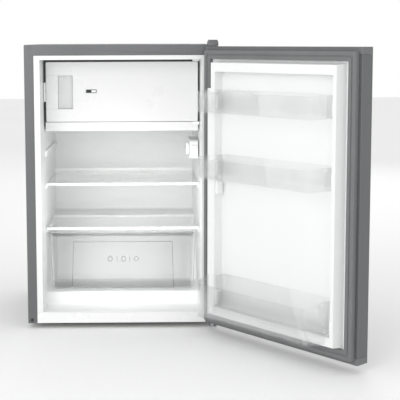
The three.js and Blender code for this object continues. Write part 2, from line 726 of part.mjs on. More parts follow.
// White arms on the frame, each with the pin that the flap turns on moulded in one piece with it.
function flapArm(armSpan, pinSpan) {
  const [px, py] = FLAP_PIVOT;
  const arm = block([px - 10, halfAt(FLAP_BACK) - 1], [FLAP_Y - 2, FLAP_BACK + 1 - GAP], armSpan);
  return join(arm, disc(2, pinSpan, 16).translate(px, py, 0));
}

add(cabinet, "icebox_frame", iceboxFrame(), DARK_PLASTIC());
add(cabinet, "evaporator_box", evaporator(), ALUMINIUM());
add(cabinet, "icebox_tray", iceboxTray(), WHITE_PLASTIC());
add(cabinet, "flap_latch_catch", latchCatch(), WHITE_PLASTIC());
const LOW_ARM = [FLAP_LOW - ARM_UNDER, FLAP_LOW - 1];
const HIGH_ARM = [FLAP_TOP + 1, CEILING - 1];
add(cabinet, "flap_arm_lower", flapArm(LOW_ARM, [LOW_ARM[1] - 1, FLAP_LOW + 9]), WHITE_PLASTIC());
add(cabinet, "flap_arm_upper", flapArm(HIGH_ARM, [FLAP_TOP - 9, HIGH_ARM[0] + 1]), WHITE_PLASTIC());

const GRIP_LEFT = 36; // from the flap's free edge to the finger recess
const GRIP_WIDTH = 44;
const GRIP_HEIGHT = 100;
const GRIP_DEPTH = 13;
const GRIP_LOW = FLAP_LOW + 38;
const BADGE = [32, 10, 1.2]; // width, height, thickness
const BADGE_X = FLAP_LEFT + 135;
const BADGE_Z = FLAP_LOW + 91;

// The flap's front shell: a shallow pan with a finger recess and a seat for the badge.
function flapShell() {
  const view = rectangle([FLAP_LEFT, FLAP_RIGHT], [FLAP_LOW, FLAP_TOP], 4);
  const pan = alongY(view, [FLAP_Y, FLAP_BACK - 2]);
  const hollow = block(
    [FLAP_LEFT + FLAP_WALL, FLAP_RIGHT - FLAP_WALL], [FLAP_Y + FLAP_WALL, FLAP_BACK],
    [FLAP_LOW + FLAP_WALL, FLAP_TOP - FLAP_WALL],
  );
  const x0 = FLAP_LEFT + GRIP_LEFT;
  const pocket = (wall) => block(
    [x0 - wall, x0 + GRIP_WIDTH + wall], [FLAP_Y - 1 + (wall ? 1 : 0), FLAP_Y + GRIP_DEPTH + wall],
    [GRIP_LOW - wall, GRIP_LOW + GRIP_HEIGHT + wall],
  );
  const [px, py] = FLAP_PIVOT;
  const bossPlan = rectangle([px - 6, FLAP_RIGHT - 1], [FLAP_Y + 1, py + 6]);
  const boss = alongZ(bossPlan, [FLAP_LOW + 1, FLAP_TOP - 1]);
  const pinHoles = [[FLAP_LOW - 1, FLAP_LOW + 10], [FLAP_TOP - 10, FLAP_TOP + 1]].map((span) =>
    disc(2 + GAP, span, 16).translate(px, py, 0));
  const seat = block(
    [BADGE_X - BADGE[0] / 2 - GAP, BADGE_X + BADGE[0] / 2 + GAP], [FLAP_Y - 1, FLAP_Y + 0.6],
    [BADGE_Z - BADGE[1] / 2 - GAP, BADGE_Z + BADGE[1] / 2 + GAP],
  );
  return cut(join(cut(pan, hollow), pocket(FLAP_WALL), boss), pocket(0), seat, ...pinHoles);
}

// The flap's back: a lid set into the pan, with a foam lip round it.
function flapBack() {
  const inset = FLAP_WALL + GAP;
  const view = rectangle(
    [FLAP_LEFT + inset, FLAP_PIVOT[0] - 6 - GAP], [FLAP_LOW + inset, FLAP_TOP - inset], 2,
  );
  return alongY(view, [FLAP_Y + GRIP_DEPTH + FLAP_WALL + GAP, FLAP_BACK]);
}

function flapBadge() {
  const view = rectangle(
    [BADGE_X - BADGE[0] / 2, BADGE_X + BADGE[0] / 2], [BADGE_Z - BADGE[1] / 2, BADGE_Z + BADGE[1] / 2], 1,
  );
  return alongY(view, [FLAP_Y + 0.6 - GAP - BADGE[2] + 0.3, FLAP_Y + 0.6 - GAP]);
}

add(flap, "icebox_flap_shell", flapShell(), WHITE_PLASTIC());
add(flap, "icebox_flap_back", flapBack(), WHITE_PLASTIC());
add(flap, "flap_badge", flapBadge(), DARK_PLASTIC());

// ---------------------------------------------------------------- shelves
// A glass pane held between a plastic front strip and a rear strip with an upstand.
function shelf(name, top, depth, rearRise) {
  const half = OPEN_HALF - SHELF_CLEAR;
  const [front, back] = [SHELF_FRONT_Y, SHELF_FRONT_Y + depth];
  const rear = halfAt(back) - SHELF_CLEAR + 1.5;
  const low = top - GLASS;
  const strip = outline([
    [front, low - 1.8, 2], [front + 15, low - 1.2, 0.4], [front + 15, low - GAP], [front + 6, low - GAP],
    [front + 6, top + GAP], [front + 11, top + GAP], [front + 11, top + 1.2, 0.4], [front, top + 1.2, 2],
  ]);
  const rearStrip = outline([
    [back, top + rearRise, 1], [back - 3, top + rearRise, 1], [back - 3, top + 1.5], [back - 9, top + 1.5],
    [back - 9, top + GAP], [back - 5, top + GAP], [back - 5, low - GAP], [back - 9, low - GAP],
    [back - 9, low - 1], [back, low - 1],
  ]);
  const pane = taper(
    [[-half, half], [low, top]], front + 6 + GAP, [[-rear, rear], [low, top]], back - 5 - GAP,
  );
  return {
    glass: [`${name}_glass`, pane],
    front: [`${name}_front_strip`, alongX(strip, [-half - 0.5, half + 0.5])],
    rear: [`${name}_rear_strip`, alongX(rearStrip, [-rear, rear])],
  };
}

for (const [name, top, depth, rise] of [
  ["shelf", SHELF_HEIGHT, SHELF_DEPTH, 12],
  ["crisper_cover", COVER_TOP, HUMP_TOP_Y - 4 - SHELF_FRONT_Y, 3],
]) {
  const { glass, front, rear } = shelf(name, top, depth, rise);
  add(cabinet, glass[0], glass[1], CLEAR_GLASS());
  add(cabinet, front[0], front[1], WHITE_PLASTIC());
  add(cabinet, rear[0], rear[1], WHITE_PLASTIC());
}

// ---------------------------------------------------------------- crisper drawer
const CRISPER_LOW = FLOOR_HEIGHT + CRISPER_CLEAR;
const CRISPER_TOP = COVER_TOP - CRISPER_UNDER_COVER;
const CRISPER_HEIGHT = CRISPER_TOP - CRISPER_LOW;
const CRISPER_FRONT_Y = SHELF_FRONT_Y + 2;
const CRISPER_BASE_BACK = HUMP_FOOT_Y - 8;
const CRISPER_TOP_BACK = CRISPER_BASE_BACK
  + ((HUMP_TOP_Y - HUMP_FOOT_Y) * CRISPER_HEIGHT) / (HUMP_HEIGHT - FLOOR_HEIGHT) - 3;
const CRISPER_DRAFT = 6;
const CRISPER_HALF = OPEN_HALF - CRISPER_SIDE_CLEAR;

// A clear drawer whose back slopes over the step, with a turned-out lip along the front.
function crisper() {
  const body = (inset, low, top) => {
    const outline4 = grown(
      [
        [CRISPER_FRONT_Y + 7, CRISPER_LOW, 8], [CRISPER_BASE_BACK, CRISPER_LOW, 10],
        [CRISPER_TOP_BACK, CRISPER_TOP], [CRISPER_FRONT_Y, CRISPER_TOP],
      ],
      -inset,
    ).map(([y, z, r]) => [y, z > CRISPER_TOP - 10 ? top : z, r]);
    const geometry = alongX(outline(outline4), [-1, 1], 4);
    const place = geometry.attributes.position;
    for (let i = 0; i < place.count; i++) {
      const rise = (place.getZ(i) - CRISPER_LOW) / CRISPER_HEIGHT;
      const half = CRISPER_HALF - CRISPER_DRAFT * (1 - Math.min(Math.max(rise, 0), 1)) - inset;
      place.setX(i, place.getX(i) * half);
    }
    return geometry;
  };
  const lipWidth = OPEN_HALF - SHELF_CLEAR - 4;
  const lip = block(
    [-lipWidth, lipWidth], [CRISPER_FRONT_Y - 5, CRISPER_FRONT_Y + 3], [CRISPER_TOP - 12, CRISPER_TOP],
  );
  const lipBack = block(
    [-CRISPER_HALF + CRISPER_WALL, CRISPER_HALF - CRISPER_WALL],
    [CRISPER_FRONT_Y - 5 + CRISPER_WALL, CRISPER_FRONT_Y + 4], [CRISPER_TOP - 13, CRISPER_TOP - 3],
  );
  return cut(join(body(0, 0, CRISPER_TOP), cut(lip, lipBack)), body(CRISPER_WALL, 0, CRISPER_TOP + 20));
}

add(cabinet, "crisper_drawer", crisper(), CLEAR_PLASTIC());

// ---------------------------------------------------------------- thermostat and lamp
const BOX_FRONT = 112;
const BOX_LENGTH = 138;
const BOX_HEIGHT = 56;
const BOX_UNDER_TRAY = 31; // clearance below the icebox's drip tray
const BOX_LOW = TRAY_BASE - BOX_UNDER_TRAY - BOX_HEIGHT;
const BOX_REACH = 26; // out from the wall
const BOX_WALL = 2.2;
const KNOB_R = 19;
const KNOB_THICK = 9;
const BOX_FACE = halfAt(BOX_FRONT + BOX_LENGTH) - 1.5 - BOX_REACH;
const BOX_BACK_X = BOX_FACE + BOX_REACH;
const KNOB_AT = [BOX_FRONT + 36, BOX_LOW + BOX_HEIGHT / 2];
const WINDOW = [BOX_FRONT + 68, BOX_FRONT + BOX_LENGTH - 10];
const BUTTON_Z = BOX_LOW + BOX_HEIGHT - 19;
const BUTTON_X = BOX_FACE + 13;
const BUTTON_TRAVEL = 5;

// A short cylinder that lies along X.
const sideDisc = (radius, [x0, x1], y, z, segments = 20) =>
  disc(radius, [x0, x1], segments).rotateY(Math.PI / 2).translate(0, y, z);

function thermostatHousing() {
  const shape = rectangle([BOX_FRONT, BOX_FRONT + BOX_LENGTH], [BOX_LOW, BOX_LOW + BOX_HEIGHT], 10);
  const inner = rectangle(
    [BOX_FRONT + BOX_WALL, BOX_FRONT + BOX_LENGTH - BOX_WALL],
    [BOX_LOW + BOX_WALL, BOX_LOW + BOX_HEIGHT - BOX_WALL], 8,
  );
  const shell = cut(
    alongX(shape, [BOX_FACE, BOX_BACK_X], 5),
    alongX(inner, [BOX_FACE + BOX_WALL, BOX_BACK_X + 1], 5),
  );
  const window = block(
    [BOX_FACE - 1, BOX_FACE + BOX_WALL + 1], WINDOW, [BOX_LOW + 8, BOX_LOW + BOX_HEIGHT - 8],
  );
  const shaftHole = sideDisc(4, [BOX_FACE - 1, BOX_FACE + BOX_WALL + 1], ...KNOB_AT);
  const buttonHole = block(
    [BUTTON_X - 6 - GAP, BUTTON_X + 6 + GAP], [BOX_FRONT - 1, BOX_FRONT + BOX_WALL + 1],
    [BUTTON_Z - 4 - GAP, BUTTON_Z + 4 + GAP],
  );
  return cut(shell, window, shaftHole, buttonHole);
}

// The lamp's clear cover, ribbed inside, in the housing's window.
function lampLens() {
  const [y0, y1] = [WINDOW[0] + GAP, WINDOW[1] - GAP];
  const [z0, z1] = [BOX_LOW + 8 + GAP, BOX_LOW + BOX_HEIGHT - 8 - GAP];
  const pane = block([BOX_FACE, BOX_FACE + 2], [y0, y1], [z0, z1]);
  const ribs = [1, 2, 3, 4, 5].map((i) => {
    const y = y0 + ((y1 - y0) * i) / 6;
    return block([BOX_FACE + 1, BOX_FACE + 3.5], [y - 0.8, y + 0.8], [z0 + 2, z1 - 2]);
  });
  return join(pane, ...ribs);
}

function thermostatKnob() {
  const x1 = BOX_FACE - 0.6;
  const x0 = x1 - KNOB_THICK;
  const dial = sideDisc(KNOB_R, [x0 + 3, x1], ...KNOB_AT, 28);
  const [y, z] = KNOB_AT;
  const grip = block([x0, x1 - 1], [y - 4, y + 4], [z - KNOB_R + 2, z + KNOB_R - 2]);
  const shaft = sideDisc(3, [x1 - 1, BOX_FACE + 8], ...KNOB_AT, 16);
  return join(dial, grip, shaft);
}

function thermostatUnit() {
  const [y, z] = KNOB_AT;
  const body = block([BOX_FACE + 6, BOX_BACK_X - 2], [y - 17, y + 17], [z - 17, z + 10]);
  return cut(body, sideDisc(3 + GAP, [BOX_FACE + 5, BOX_FACE + 9], y, z, 16));
}

const LAMP_Z = BOX_LOW + BOX_HEIGHT / 2;

function lampSocket() {
  const y1 = BOX_FRONT + BOX_LENGTH - BOX_WALL - 2;
  const cup = frontDisc(8, [y1 - 16, y1], BOX_FACE + 14, LAMP_Z, 18);
  return cut(cup, frontDisc(6.2, [y1 - 17, y1 - 4], BOX_FACE + 14, LAMP_Z, 18));
}

function lampBulb() {
  const y1 = BOX_FRONT + BOX_LENGTH - BOX_WALL - 2 - 4 - GAP;
  const profile = [
    [0, 0], [5.6, 0], [5.6, 14], [6.8, 18], [8.4, 26], [8, 33], [5.4, 38.5], [2.4, 40.4], [0, 40.8],
  ];
  return turned(profile, 18).rotateX(Math.PI / 2).translate(BOX_FACE + 14, y1, LAMP_Z);
}

// The plunger that tells the lamp the door is shut.
function switchButton() {
  const stalk = block(
    [BUTTON_X - 6, BUTTON_X + 6], [BOX_FRONT - BUTTON_TRAVEL - 1, BOX_FRONT + 8],
    [BUTTON_Z - 4, BUTTON_Z + 4],
  );
  const flange = block(
    [BUTTON_X - 8, BUTTON_X + 8], [BOX_FRONT + BOX_WALL + GAP, BOX_FRONT + 4.5],
    [BUTTON_Z - 6, BUTTON_Z + 6],
  );
  return join(stalk, flange);
}

add(cabinet, "thermostat_housing", thermostatHousing(), WHITE_PLASTIC());
add(cabinet, "lamp_lens", lampLens(), CLEAR_PLASTIC());
add(cabinet, "thermostat_unit", thermostatUnit(), DARK_PLASTIC());
add(cabinet, "thermostat_knob", thermostatKnob(), WHITE_PLASTIC());
add(cabinet, "lamp_socket", lampSocket(), WHITE_PLASTIC());
add(cabinet, "lamp_bulb", lampBulb(), CLEAR_GLASS());
add(cabinet, "light_switch_button", switchButton(), WHITE_PLASTIC());

// ---------------------------------------------------------------- hinges
const PIVOT = [HALF - PIVOT_FROM_SIDE, -PIVOT_FROM_FRONT];
const DOOR_LOW = DOOR_ABOVE_BOTTOM;
const DOOR_TOP = BODY_HEIGHT - DOOR_BELOW_TOP;
const PIN_DEPTH = 14; // how far a hinge pin enters the door
const BUSH_R = 6.5;

// A plate that reaches from the cabinet out to the pivot, round at its front end.
// A flat steel plate that reaches forward from the case to carry a hinge pin.
function hingePlate([z0, z1], [x0, x1], backY) {
  const frontY = PIVOT[1] - 11;
  const view = outline([[x0, frontY, 9], [x1, frontY, 9], [x1, backY, 7], [x0, backY, 7]]);
  return alongZ(view, [z0, z1], 5);
}

const TOP_PLATE_Z = [BODY_HEIGHT + GAP, BODY_HEIGHT + GAP + HINGE_PLATE];
const LOW_PLATE_Z = [-HINGE_PLATE, -GAP];
const SCREW_R = 2.4;
const SCREW_SPOTS = [[PIVOT[0] + 1, 9], [PIVOT[0] + 1, 26]];
const PLATE_X = [PIVOT[0] - 11, PIVOT[0] + 12.4];
const COVER_RISE = 12.5;
const COVER_WALL = 2;

// The pins are riveted into their plates, so each plate and its pin are one piece.
function topHingeBracket() {
  const holes = SCREW_SPOTS.map(([x, y]) =>
    disc(SCREW_R + GAP, [TOP_PLATE_Z[0] - 1, TOP_PLATE_Z[1] + 1], 14).translate(x, y, 0));
  const pin = turned([
    [0, DOOR_TOP - PIN_DEPTH], [PIN_R, DOOR_TOP - PIN_DEPTH],
    [PIN_R, TOP_PLATE_Z[1] - 1], [0, TOP_PLATE_Z[1] - 1],
  ], 18);
  return cut(join(hingePlate(TOP_PLATE_Z, PLATE_X, 34), pin.translate(...PIVOT, 0)), ...holes);
}

function bottomHingeBracket() {
  const pin = turned([
    [0, LOW_PLATE_Z[0] + 1], [7, LOW_PLATE_Z[0] + 1], [7, DOOR_LOW - 1], [PIN_R, DOOR_LOW - 1],
    [PIN_R, DOOR_LOW + PIN_DEPTH], [0, DOOR_LOW + PIN_DEPTH],
  ], 18);
  return join(hingePlate(LOW_PLATE_Z, PLATE_X, 46), pin.translate(...PIVOT, 0));
}

// The moulded cap over the upper bracket; in front of the case it reaches down to the door.
function topHingeCover() {
  const [x0, x1] = [PLATE_X[0] - GAP - COVER_WALL, PLATE_X[1] + GAP + COVER_WALL];
  const [y0, y1] = [PIVOT[1] - 11 - GAP - COVER_WALL, 34 + GAP + COVER_WALL];
  const view = (inset) => rectangle([x0 + inset, x1 - inset], [y0 + inset, y1 - inset], 6);
  const tier = (inset, z) => alongZ(view(inset), z, 5);
  const top = BODY_HEIGHT + COVER_RISE;
  const skirt = cut(
    tier(0, [DOOR_TOP + 1, BODY_HEIGHT + 1]),
    block([x0 - 1, x1 + 1], [-0.8, y1 + 1], [DOOR_TOP, BODY_HEIGHT + GAP]),
  );
  const crown = join(
    tier(0, [BODY_HEIGHT + GAP, top - 6]), tier(1.2, [top - 6.5, top - 2.5]), tier(2.6, [top - 3, top]),
  );
  const hollow = join(tier(COVER_WALL, [DOOR_TOP, top - 6]), tier(1.2 + COVER_WALL, [DOOR_TOP, top - 3]));
  return cut(join(skirt, crown), hollow);
}

function hingeScrew([x, y]) {
  const z = TOP_PLATE_Z[1];
  const profile = [
    [0, BODY_HEIGHT + GAP], [SCREW_R, BODY_HEIGHT + GAP], [SCREW_R, z + 0.1], [4.4, z + 0.1], [4.4, z + 1.6],
    [3, z + 2.6], [0, z + 2.6],
  ];
  return turned(profile, 16).translate(x, y, 0);
}

add(cabinet, "top_hinge_bracket", topHingeBracket(), BARE_STEEL());
add(cabinet, "bottom_hinge_bracket", bottomHingeBracket(), BARE_STEEL());
add(cabinet, "top_hinge_cover", topHingeCover(), CAP_GREY());
SCREW_SPOTS.forEach((spot, i) => add(cabinet, `hinge_screw_${i + 1}`, hingeScrew(spot), BARE_STEEL()));

// ---------------------------------------------------------------- door
// The door is drawn shut, about its hinge pin: s runs from its hinge edge, t inwards from the pin.
const at = (s) => PIVOT_FROM_SIDE - s;
const INNER_FACE = PIVOT_FROM_FRONT - DOOR_GAP;
const OUTER_FACE = INNER_FACE - DOOR_THICK;
const EDGE_R = 8;
const DOOR_RETURN = GASKET_EDGE + 0.5; // the skin's fold at the inner face
const LINER_FACE = INNER_FACE + GAP + LINER_WALL;

const plan = (inset) => outline([
  [at(WIDTH - inset), OUTER_FACE + inset, EDGE_R - 2], [at(inset), OUTER_FACE + inset, EDGE_R],
  [at(inset), INNER_FACE - inset, 2], [at(WIDTH - inset), INNER_FACE - inset, 2],
]);

function doorSkin() {
  const span = [DOOR_LOW + CAP_HEIGHT + GAP, DOOR_TOP - CAP_HEIGHT - GAP];
  const tall = [span[0] - 1, span[1] + 1];
  const hollow = alongZ(plan(SHEET), tall, 5);
  const mouth = block(
    [at(WIDTH - DOOR_RETURN), at(DOOR_RETURN)], [INNER_FACE - SHEET - 1, INNER_FACE + 1], tall,
  );
  return cut(alongZ(plan(0), span, 5), hollow, mouth);
}

// An end cap closes the skin; a long groove runs along it beside the inner face.
function doorCap(span, pinSide) {
  const [z0, z1] = span;
  const groove = block(
    [at(WIDTH - 14), at(34)], [INNER_FACE - 9, INNER_FACE - 3],
    pinSide > 0 ? [z1 - 7, z1 + 1] : [z0 - 1, z0 + 7],
  );
  const socketZ = pinSide > 0 ? [z1 - PIN_DEPTH - 2, z1 + 1] : [z0 - 1, z0 + PIN_DEPTH + 2];
  const socket = disc(BUSH_R + GAP, socketZ, 20);
  return cut(alongZ(plan(0), span, 5), groove, socket);
}

function hingeBush(face, direction) {
  const profile = [
    [PIN_R + GAP / 2, 0], [BUSH_R, 0], [BUSH_R, PIN_DEPTH + 1],
    [PIN_R + GAP / 2, PIN_DEPTH + 1], [PIN_R + GAP / 2, 0],
  ];
  const bush = turned(profile, 18);
  return (direction > 0 ? bush : bush.rotateX(Math.PI)).translate(0, 0, face);
}

// The ridge round the inside of the door, as a solid moved inwards by a wall.
const DYKE_LOW = DOOR_LOW + 38;
const DYKE_HIGH = DOOR_TOP - 41;
const DYKE_FAR = WIDTH - 45;
const RIDGE_FACE = INNER_FACE + DYKE_RISE;
const SWING_LEAN = 6.5; // the ridge's free side leans in, to clear the mouth as the door swings
const RECESS_FAR = DYKE_FAR - SWING_LEAN - DYKE_FREE_WIDTH;
const SETBACK = 13.5; // the ridge's hinge side stands back beside the door's top shelf space
const SETBACK_LOW = DOOR_TOP - 117;

function ridge(inset, below) {
  const outerBase = [[at(DYKE_FAR - inset), at(DYKE_EDGE + inset)], [DYKE_LOW + inset, DYKE_HIGH - inset]];
  const outerTop = [
    [at(DYKE_FAR - SWING_LEAN - inset), at(DYKE_EDGE + 1 + inset)],
    [DYKE_LOW + 4 + inset, DYKE_HIGH - 4 - inset],
  ];
  const body = taper(outerBase, INNER_FACE + GAP - below, outerTop, RIDGE_FACE - inset);
  const setback = block(
    [at(DYKE_EDGE + SETBACK + inset), at(0)], [INNER_FACE - 10, RIDGE_FACE + 1],
    [SETBACK_LOW - inset, DOOR_TOP],
  );
  return cut(body, recess(inset, below), setback);
}

// The space inside the ridge, grown by a wall; its floor is the liner's face.
function recess(grow, below) {
  const top = DYKE_TOP_WIDTH + 4;
  const rectAt = (extra) => [
    [at(RECESS_FAR + grow - extra), at(DYKE_EDGE + top - grow + extra)],
    [DYKE_LOW + top - grow + extra, DYKE_HIGH - top + grow - extra],
  ];
  return taper(rectAt(-4), LINER_FACE - grow - below, rectAt(0), RIDGE_FACE + 1);
}

const TOP_BIN_DROP = 181; // the top bin's floor under the door's top edge
const BIN_PITCH = 183;
const BIN_HEIGHT = 61;
const TOP_BIN_LOW = DOOR_TOP - TOP_BIN_DROP;
const BIN_LEVELS = [
  { name: "top_bin", low: TOP_BIN_LOW, height: BIN_HEIGHT, drop: 4 },
  { name: "middle_bin", low: TOP_BIN_LOW - BIN_PITCH, height: BIN_HEIGHT, drop: 8 },
  { name: "bottom_bin", low: DOOR_LOW + 49, height: 111, drop: 20 },
];
const SPARE_PEG = TOP_BIN_LOW - BIN_PITCH - 51; // an unused pair of pegs
const PEG_HEIGHT = 36;
const PEG_REACH = 5;
const RECESS_NEAR = DYKE_EDGE + DYKE_TOP_WIDTH + 4;

// Pegs on the ridge's inner walls, one at each end of every level.
function pegs() {
  const lowest = DYKE_LOW + DYKE_TOP_WIDTH + 12;
  const lows = [...BIN_LEVELS.map(({ low }) => Math.max(low + 8, lowest)), SPARE_PEG];
  const depth = [INNER_FACE + 10, RIDGE_FACE - 6];
  return lows.flatMap((low) => [
    block([at(RECESS_NEAR + PEG_REACH + 2), at(RECESS_NEAR - 3)], depth, [low, low + PEG_HEIGHT]),
    block([at(RECESS_FAR + 3), at(RECESS_FAR - PEG_REACH - 2)], depth, [low, low + PEG_HEIGHT]),
  ]);
}

const LINER_EDGE = GASKET_EDGE + GASKET_SKIRT + GAP;

function doorLiner() {
  const sheet = block(
    [at(WIDTH - LINER_EDGE), at(LINER_EDGE)], [INNER_FACE + GAP, LINER_FACE],
    [DOOR_LOW + LINER_EDGE + 2, DOOR_TOP - LINER_EDGE - 2],
  );
  return cut(join(sheet, ridge(0, 0), ...pegs()), ridge(LINER_WALL, 5));
}

function doorFoam() {
  const inset = SHEET + GAP;
  const slab = block(
    [at(WIDTH - DOOR_RETURN - GAP), at(DOOR_RETURN + GAP)], [OUTER_FACE + inset, INNER_FACE - GAP],
    [DOOR_LOW + CAP_HEIGHT + GAP, DOOR_TOP - CAP_HEIGHT - GAP],
  );
  return join(slab, ridge(LINER_WALL + GAP, 5));
}

// A magnetic seal: a hollow-looking ring with a shallow groove round its face.
function gasket() {
  const ring = (inset, radius) => rectangle(
    [at(WIDTH - GASKET_EDGE - inset), at(GASKET_EDGE + inset)],
    [DOOR_LOW + GASKET_EDGE + 2 + inset, DOOR_TOP - GASKET_EDGE - 2 - inset], radius,
  );
  const [t0, t1] = [LINER_FACE + GAP, LINER_FACE + GASKET_THICK];
  const band = (from, to, t, radius = 4) =>
    cut(alongY(ring(from, 4), t, 3), alongY(ring(to, radius), [t[0] - 1, t[1] + 1], 3));
  const groove = band(GASKET_WIDTH * 0.42, GASKET_WIDTH * 0.6, [t1 - 2, t1 + 1]);
  const skirt = band(0, GASKET_SKIRT, [INNER_FACE + GAP, t0 + 1], 0);
  return cut(join(band(0, GASKET_WIDTH, [t0, t1]), skirt), groove);
}

// A clear bin: it sits between the ridge's walls, reaches over the one at the hinge side, and its
// free end slants in towards the front.
function doorBin({ low, height, drop }) {
  const back = INNER_FACE + 4;
  const front = RIDGE_FACE + BIN_REACH + 4;
  const shoulder = RIDGE_FACE + 4;
  const near = RECESS_NEAR + PEG_REACH + 4;
  const far = RECESS_FAR - PEG_REACH - 4;
  const over = 22;
  const slant = 11;
  const corners = [
    [at(far), back], [at(near), back], [at(near), shoulder - 3], [at(near - over), shoulder + 3],
    [at(near - over), front, 20], [at(far - slant), front, 14], [at(far), shoulder - 3],
  ];
  const outer = alongZ(outline(corners), [low, low + height], 6);
  const inner = alongZ(outline(grown(corners, -BIN_WALL)), [low + BIN_WALL, low + height + 1], 6);
  // The lowest bin's back stands on the ridge's lower wall, so its underside steps up there.
  const under = (grow) => block(
    [at(WIDTH), at(0)], [INNER_FACE - 1, RIDGE_FACE + 3 + grow],
    [low - 1, DYKE_LOW + DYKE_TOP_WIDTH + 9 + grow],
  );
  const dip = alongX(
    outline([
      [shoulder + 12, low + height + 1], [front + 9, low + height - drop], [front + 9, low + height + 1],
    ]),
    [at(far + 1), at(near - over - 1)],
  );
  return cut(cut(outer, under(0)), cut(inner, under(BIN_WALL)), dip);
}

add(door, "door_skin", doorSkin(), GREY_STEEL());
add(door, "door_top_cap", doorCap([DOOR_TOP - CAP_HEIGHT, DOOR_TOP], 1), CAP_GREY());
add(door, "door_bottom_cap", doorCap([DOOR_LOW, DOOR_LOW + CAP_HEIGHT], -1), CAP_GREY());
add(door, "door_foam", doorFoam(), FOAM());
add(door, "door_liner", doorLiner(), WHITE_LINER());
add(door, "door_gasket", gasket(), GASKET_GREY());
add(door, "upper_hinge_bush", hingeBush(DOOR_TOP - PIN_DEPTH - 1, 1), WHITE_PLASTIC());
add(door, "lower_hinge_bush", hingeBush(DOOR_LOW + PIN_DEPTH + 1, -1), WHITE_PLASTIC());
for (const level of BIN_LEVELS) add(door, level.name, doorBin(level), CLEAR_PLASTIC());

door.position.set(PIVOT[0], PIVOT[1], 0);
door.rotation.z = DOOR_OPEN;

// ---------------------------------------------------------------- the whole, standing on its feet
// The origin is on the floor, in the middle of the ground that the fridge covers with its door open.
const fridge = new THREE.Group();
fridge.name = "mini_fridge";
const standing = new THREE.Group();
standing.add(cabinet, door, flap);
standing.position.z = FOOT_HEIGHT;
const middle = new THREE.Box3().setFromObject(standing, true).getCenter(new THREE.Vector3());
standing.position.x = -middle.x;
standing.position.y = -middle.y;
fridge.add(standing);

export default fridge;
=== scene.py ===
# %% [markdown]
# # A table-top fridge with its door open
# The CAD model gives every piece its real size and place, and says which body it moves with.
# This lesson dresses that frame: it rounds the edges that a press or a mould rounds, adds the
# small pieces that are too many for the CAD model, and gives each surface its own finish.
# Everything is in metres, with +Z up and the cabinet facing -Y.

# %% Load the frame
import json
import math

import bpy
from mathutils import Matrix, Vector


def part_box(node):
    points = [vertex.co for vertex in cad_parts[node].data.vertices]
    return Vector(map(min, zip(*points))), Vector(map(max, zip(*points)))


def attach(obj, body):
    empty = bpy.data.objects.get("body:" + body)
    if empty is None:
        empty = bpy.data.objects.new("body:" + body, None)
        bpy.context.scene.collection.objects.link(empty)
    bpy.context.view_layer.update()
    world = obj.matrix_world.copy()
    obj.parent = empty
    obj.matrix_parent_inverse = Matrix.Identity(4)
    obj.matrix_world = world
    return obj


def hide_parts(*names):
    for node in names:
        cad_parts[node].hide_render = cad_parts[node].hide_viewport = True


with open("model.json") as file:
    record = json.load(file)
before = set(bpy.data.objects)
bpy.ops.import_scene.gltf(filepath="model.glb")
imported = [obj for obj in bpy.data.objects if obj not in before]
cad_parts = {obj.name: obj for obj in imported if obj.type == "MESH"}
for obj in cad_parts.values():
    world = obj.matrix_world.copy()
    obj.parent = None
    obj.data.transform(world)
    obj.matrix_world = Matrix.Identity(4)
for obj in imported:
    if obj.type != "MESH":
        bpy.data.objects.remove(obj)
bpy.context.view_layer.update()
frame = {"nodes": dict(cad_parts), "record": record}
MM = 0.001

# %% [markdown]
# ## Camera
# The fridge is seen from straight in front, with the eye near the level of its top, so the
# cabinet's upright lines stay parallel. A long lens from about three metres does that. A little
# shift keeps the camera almost level while the fridge fills the frame.

# %% Camera
CAMERA_PLACE = (-0.1216, -3.0381, 0.8512)
CAMERA_TURN = (90 - 6.2, 0.235, -0.665)  # degrees: nod, roll, turn
bpy.ops.object.camera_add(location=CAMERA_PLACE, rotation=[math.radians(a) for a in CAMERA_TURN])
camera = bpy.context.active_object
camera.data.sensor_width = 36
camera.data.lens = 93.3
camera.data.shift_x = 0.12
camera.data.shift_y = -0.12
bpy.context.scene.camera = camera
print("camera at", tuple(round(v, 3) for v in camera.location))

# %% [markdown]
# ## Floor and light
# White goods are shown on a white sweep under large soft lights. The main light stands in front
# and to the left, so the inside of the open door and the white cavity are bright and the free
# edge of the door is a step darker. The world gives the rest, evenly from all round. The cavity is
# deep and would be dim, so one weak light stands just in front of its mouth and shines straight in.

# %% Floor
bpy.ops.mesh.primitive_plane_add(size=24, location=(0, 0, 0))
floor = bpy.context.active_object
floor.name = "floor"
print("floor", tuple(floor.dimensions))


# %% Lights
def soft_light(name, place, aim, size, power):
    bpy.ops.object.light_add(type="AREA", location=place)
    light = bpy.context.active_object
    light.name = name
    light.data.shape = "DISK"
    light.data.size = size
    light.data.energy = power
    light.rotation_euler = (Vector(aim) - Vector(place)).to_track_quat("-Z", "Y").to_euler()
    light.visible_camera = False
    return light


KEY_POWER = 36
CABINET_MIDDLE = (-0.15, 0.1, 0.42)
key = soft_light("key_light", (-1.7, -3.4, 1.7), CABINET_MIDDLE, 2.2, KEY_POWER)
fill = soft_light("fill_light", (-0.5, -3.8, 0.9), CABINET_MIDDLE, 1.8, KEY_POWER * 0.25)
rear = soft_light("rear_light", (0.9, 3.4, 2.0), CABINET_MIDDLE, 2.2, KEY_POWER * 0.4)
CAVITY_LIGHT_AHEAD = 0.02
CAVITY_LIGHT_RISE = 0.3  # above the liner's foot, so that the icebox flap isn't lit too hard
CAVITY_POWER = 0.66
liner_low, liner_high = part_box("inner_liner")
mouth = [(low + high) / 2 for low, high in zip(liner_low, liner_high)]
mouth[1] = liner_low[1] - CAVITY_LIGHT_AHEAD
mouth[2] = liner_low[2] + CAVITY_LIGHT_RISE
cavity = soft_light("cavity_light", mouth, (mouth[0], mouth[1] + 1, mouth[2]), 0.4, CAVITY_POWER)
